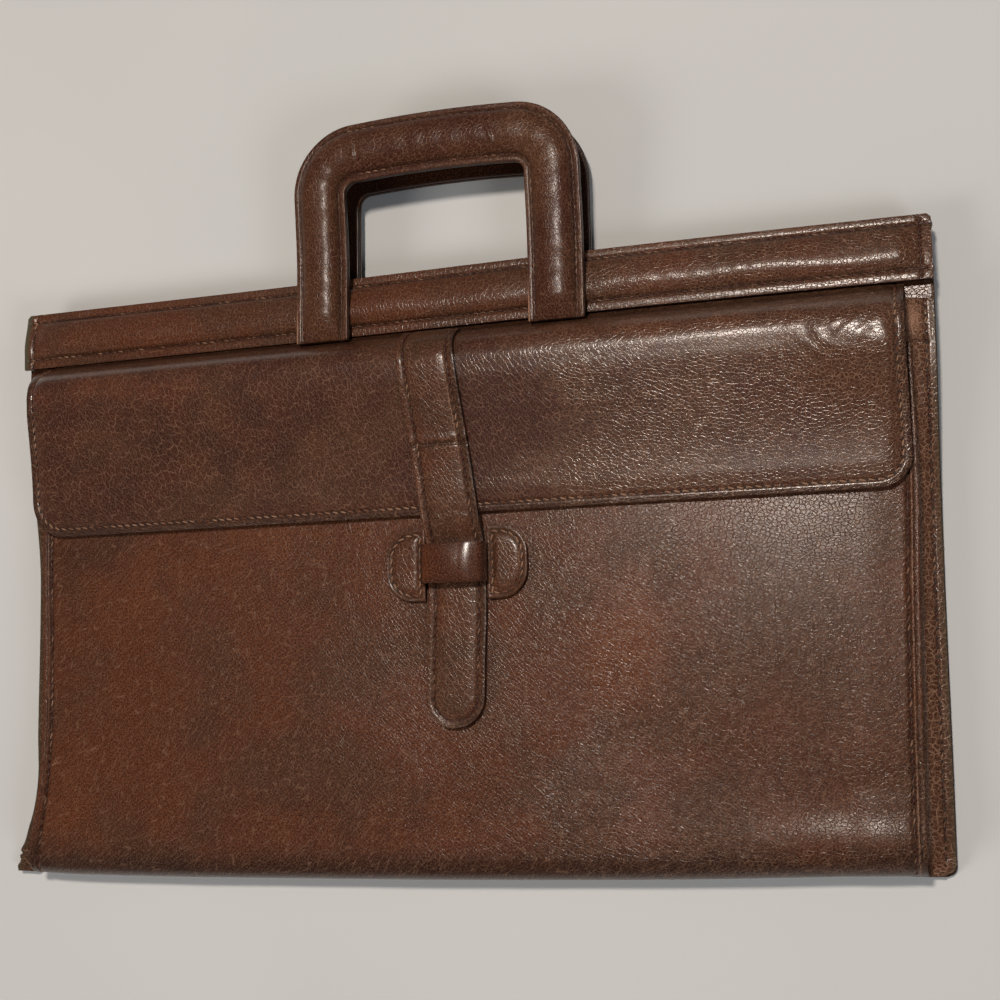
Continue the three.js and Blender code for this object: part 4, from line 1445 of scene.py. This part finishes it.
class CASE_OT_stage(bpy.types.Operator):
    """Pale floor, soft light and the camera of the photo's view."""

    bl_idname = "document_case.stage"
    bl_label = "Stage"

    def add_floor(self, context):
        bpy.ops.object.select_all(action="DESELECT")
        bpy.ops.mesh.primitive_plane_add(size=FLOOR_WIDTH, location=(0, 0, 0))
        floor = context.object
        floor.name = "floor"
        floor.data.materials.append(material("matt_floor"))

    def add_light(self, context, row):
        data = bpy.data.lights.new(row["name"], "AREA")
        data.shape = "DISK"
        data.size = row["width"]
        data.energy = row["watts"]
        data.color = srgb(row["tint"])[:3]
        light = bpy.data.objects.new(row["name"], data)
        light.location = row["place"]
        light.rotation_euler = (-Vector(row["place"])).to_track_quat("-Z", "Y").to_euler()
        light.visible_glossy = row["mirrored"]
        context.collection.objects.link(light)

    def add_camera(self, context):
        view = bpy.data.cameras.new("photo_view")
        view.sensor_fit = "HORIZONTAL"
        view.sensor_width = SENSOR_WIDTH
        view.lens = SENSOR_WIDTH * CAMERA["focal_px"] / IMAGE_WIDTH
        view.clip_start = 0.01
        x, y, z = CAMERA["turn"]
        turn = Matrix.Rotation(z, 4, "Z") @ Matrix.Rotation(y, 4, "Y") @ Matrix.Rotation(x, 4, "X")
        camera = bpy.data.objects.new("photo_view", view)
        camera.matrix_world = Matrix.Translation(CAMERA["place"]) @ turn
        context.collection.objects.link(camera)
        context.scene.camera = camera

    def execute(self, context):
        self.add_floor(context)
        for row in LIGHTS:
            self.add_light(context, row)
        world = bpy.data.worlds.new("studio")
        world.use_nodes = True
        backdrop = world.node_tree.nodes["Background"]
        backdrop.inputs["Color"].default_value = srgb(WORLD["tint"])
        backdrop.inputs["Strength"].default_value = WORLD["strength"]
        context.scene.world = world
        self.add_camera(context)
        context.scene.view_settings.view_transform = "Standard"
        return {"FINISHED"}


class CASE_PT_panel(bpy.types.Panel):
    """Lists the pieces of the document case."""

    bl_idname = "CASE_PT_panel"
    bl_label = "Document case"
    bl_space_type = "VIEW_3D"
    bl_region_type = "UI"
    bl_category = "Document Case"

    def draw(self, context):
        layout = self.layout
        for group in (context.scene.case_sizes, context.scene.case_colours):
            for name in group.bl_rna.properties.keys():
                if name not in ("rna_type", "name"):
                    layout.prop(group, name)
        for operator in OPERATORS:
            layout.operator(operator.bl_idname)


OPERATORS = (
    CASE_OT_stage, CASE_OT_back_panel, CASE_OT_front_panel, CASE_OT_gussets, CASE_OT_top_band, CASE_OT_flap,
    CASE_OT_strap, CASE_OT_keeper, CASE_OT_hand_loops,
)
CLASSES = (CaseSizes, CaseColours) + OPERATORS + (CASE_PT_panel,)


def register():
    for cls in CLASSES:
        bpy.utils.register_class(cls)
    bpy.types.Scene.case_sizes = bpy.props.PointerProperty(type=CaseSizes)
    bpy.types.Scene.case_colours = bpy.props.PointerProperty(type=CaseColours)


def unregister():
    del bpy.types.Scene.case_colours
    del bpy.types.Scene.case_sizes
    for cls in reversed(CLASSES):
        bpy.utils.unregister_class(cls)


def main():
    register()
    bpy.ops.document_case.stage()
    bpy.ops.document_case.back_panel()
    bpy.ops.document_case.front_panel()
    bpy.ops.document_case.gussets()
    bpy.ops.document_case.top_band()
    bpy.ops.document_case.flap()
    bpy.ops.document_case.strap()
    bpy.ops.document_case.keeper()
    bpy.ops.document_case.hand_loops()


if __name__ == "__main__":
    main()
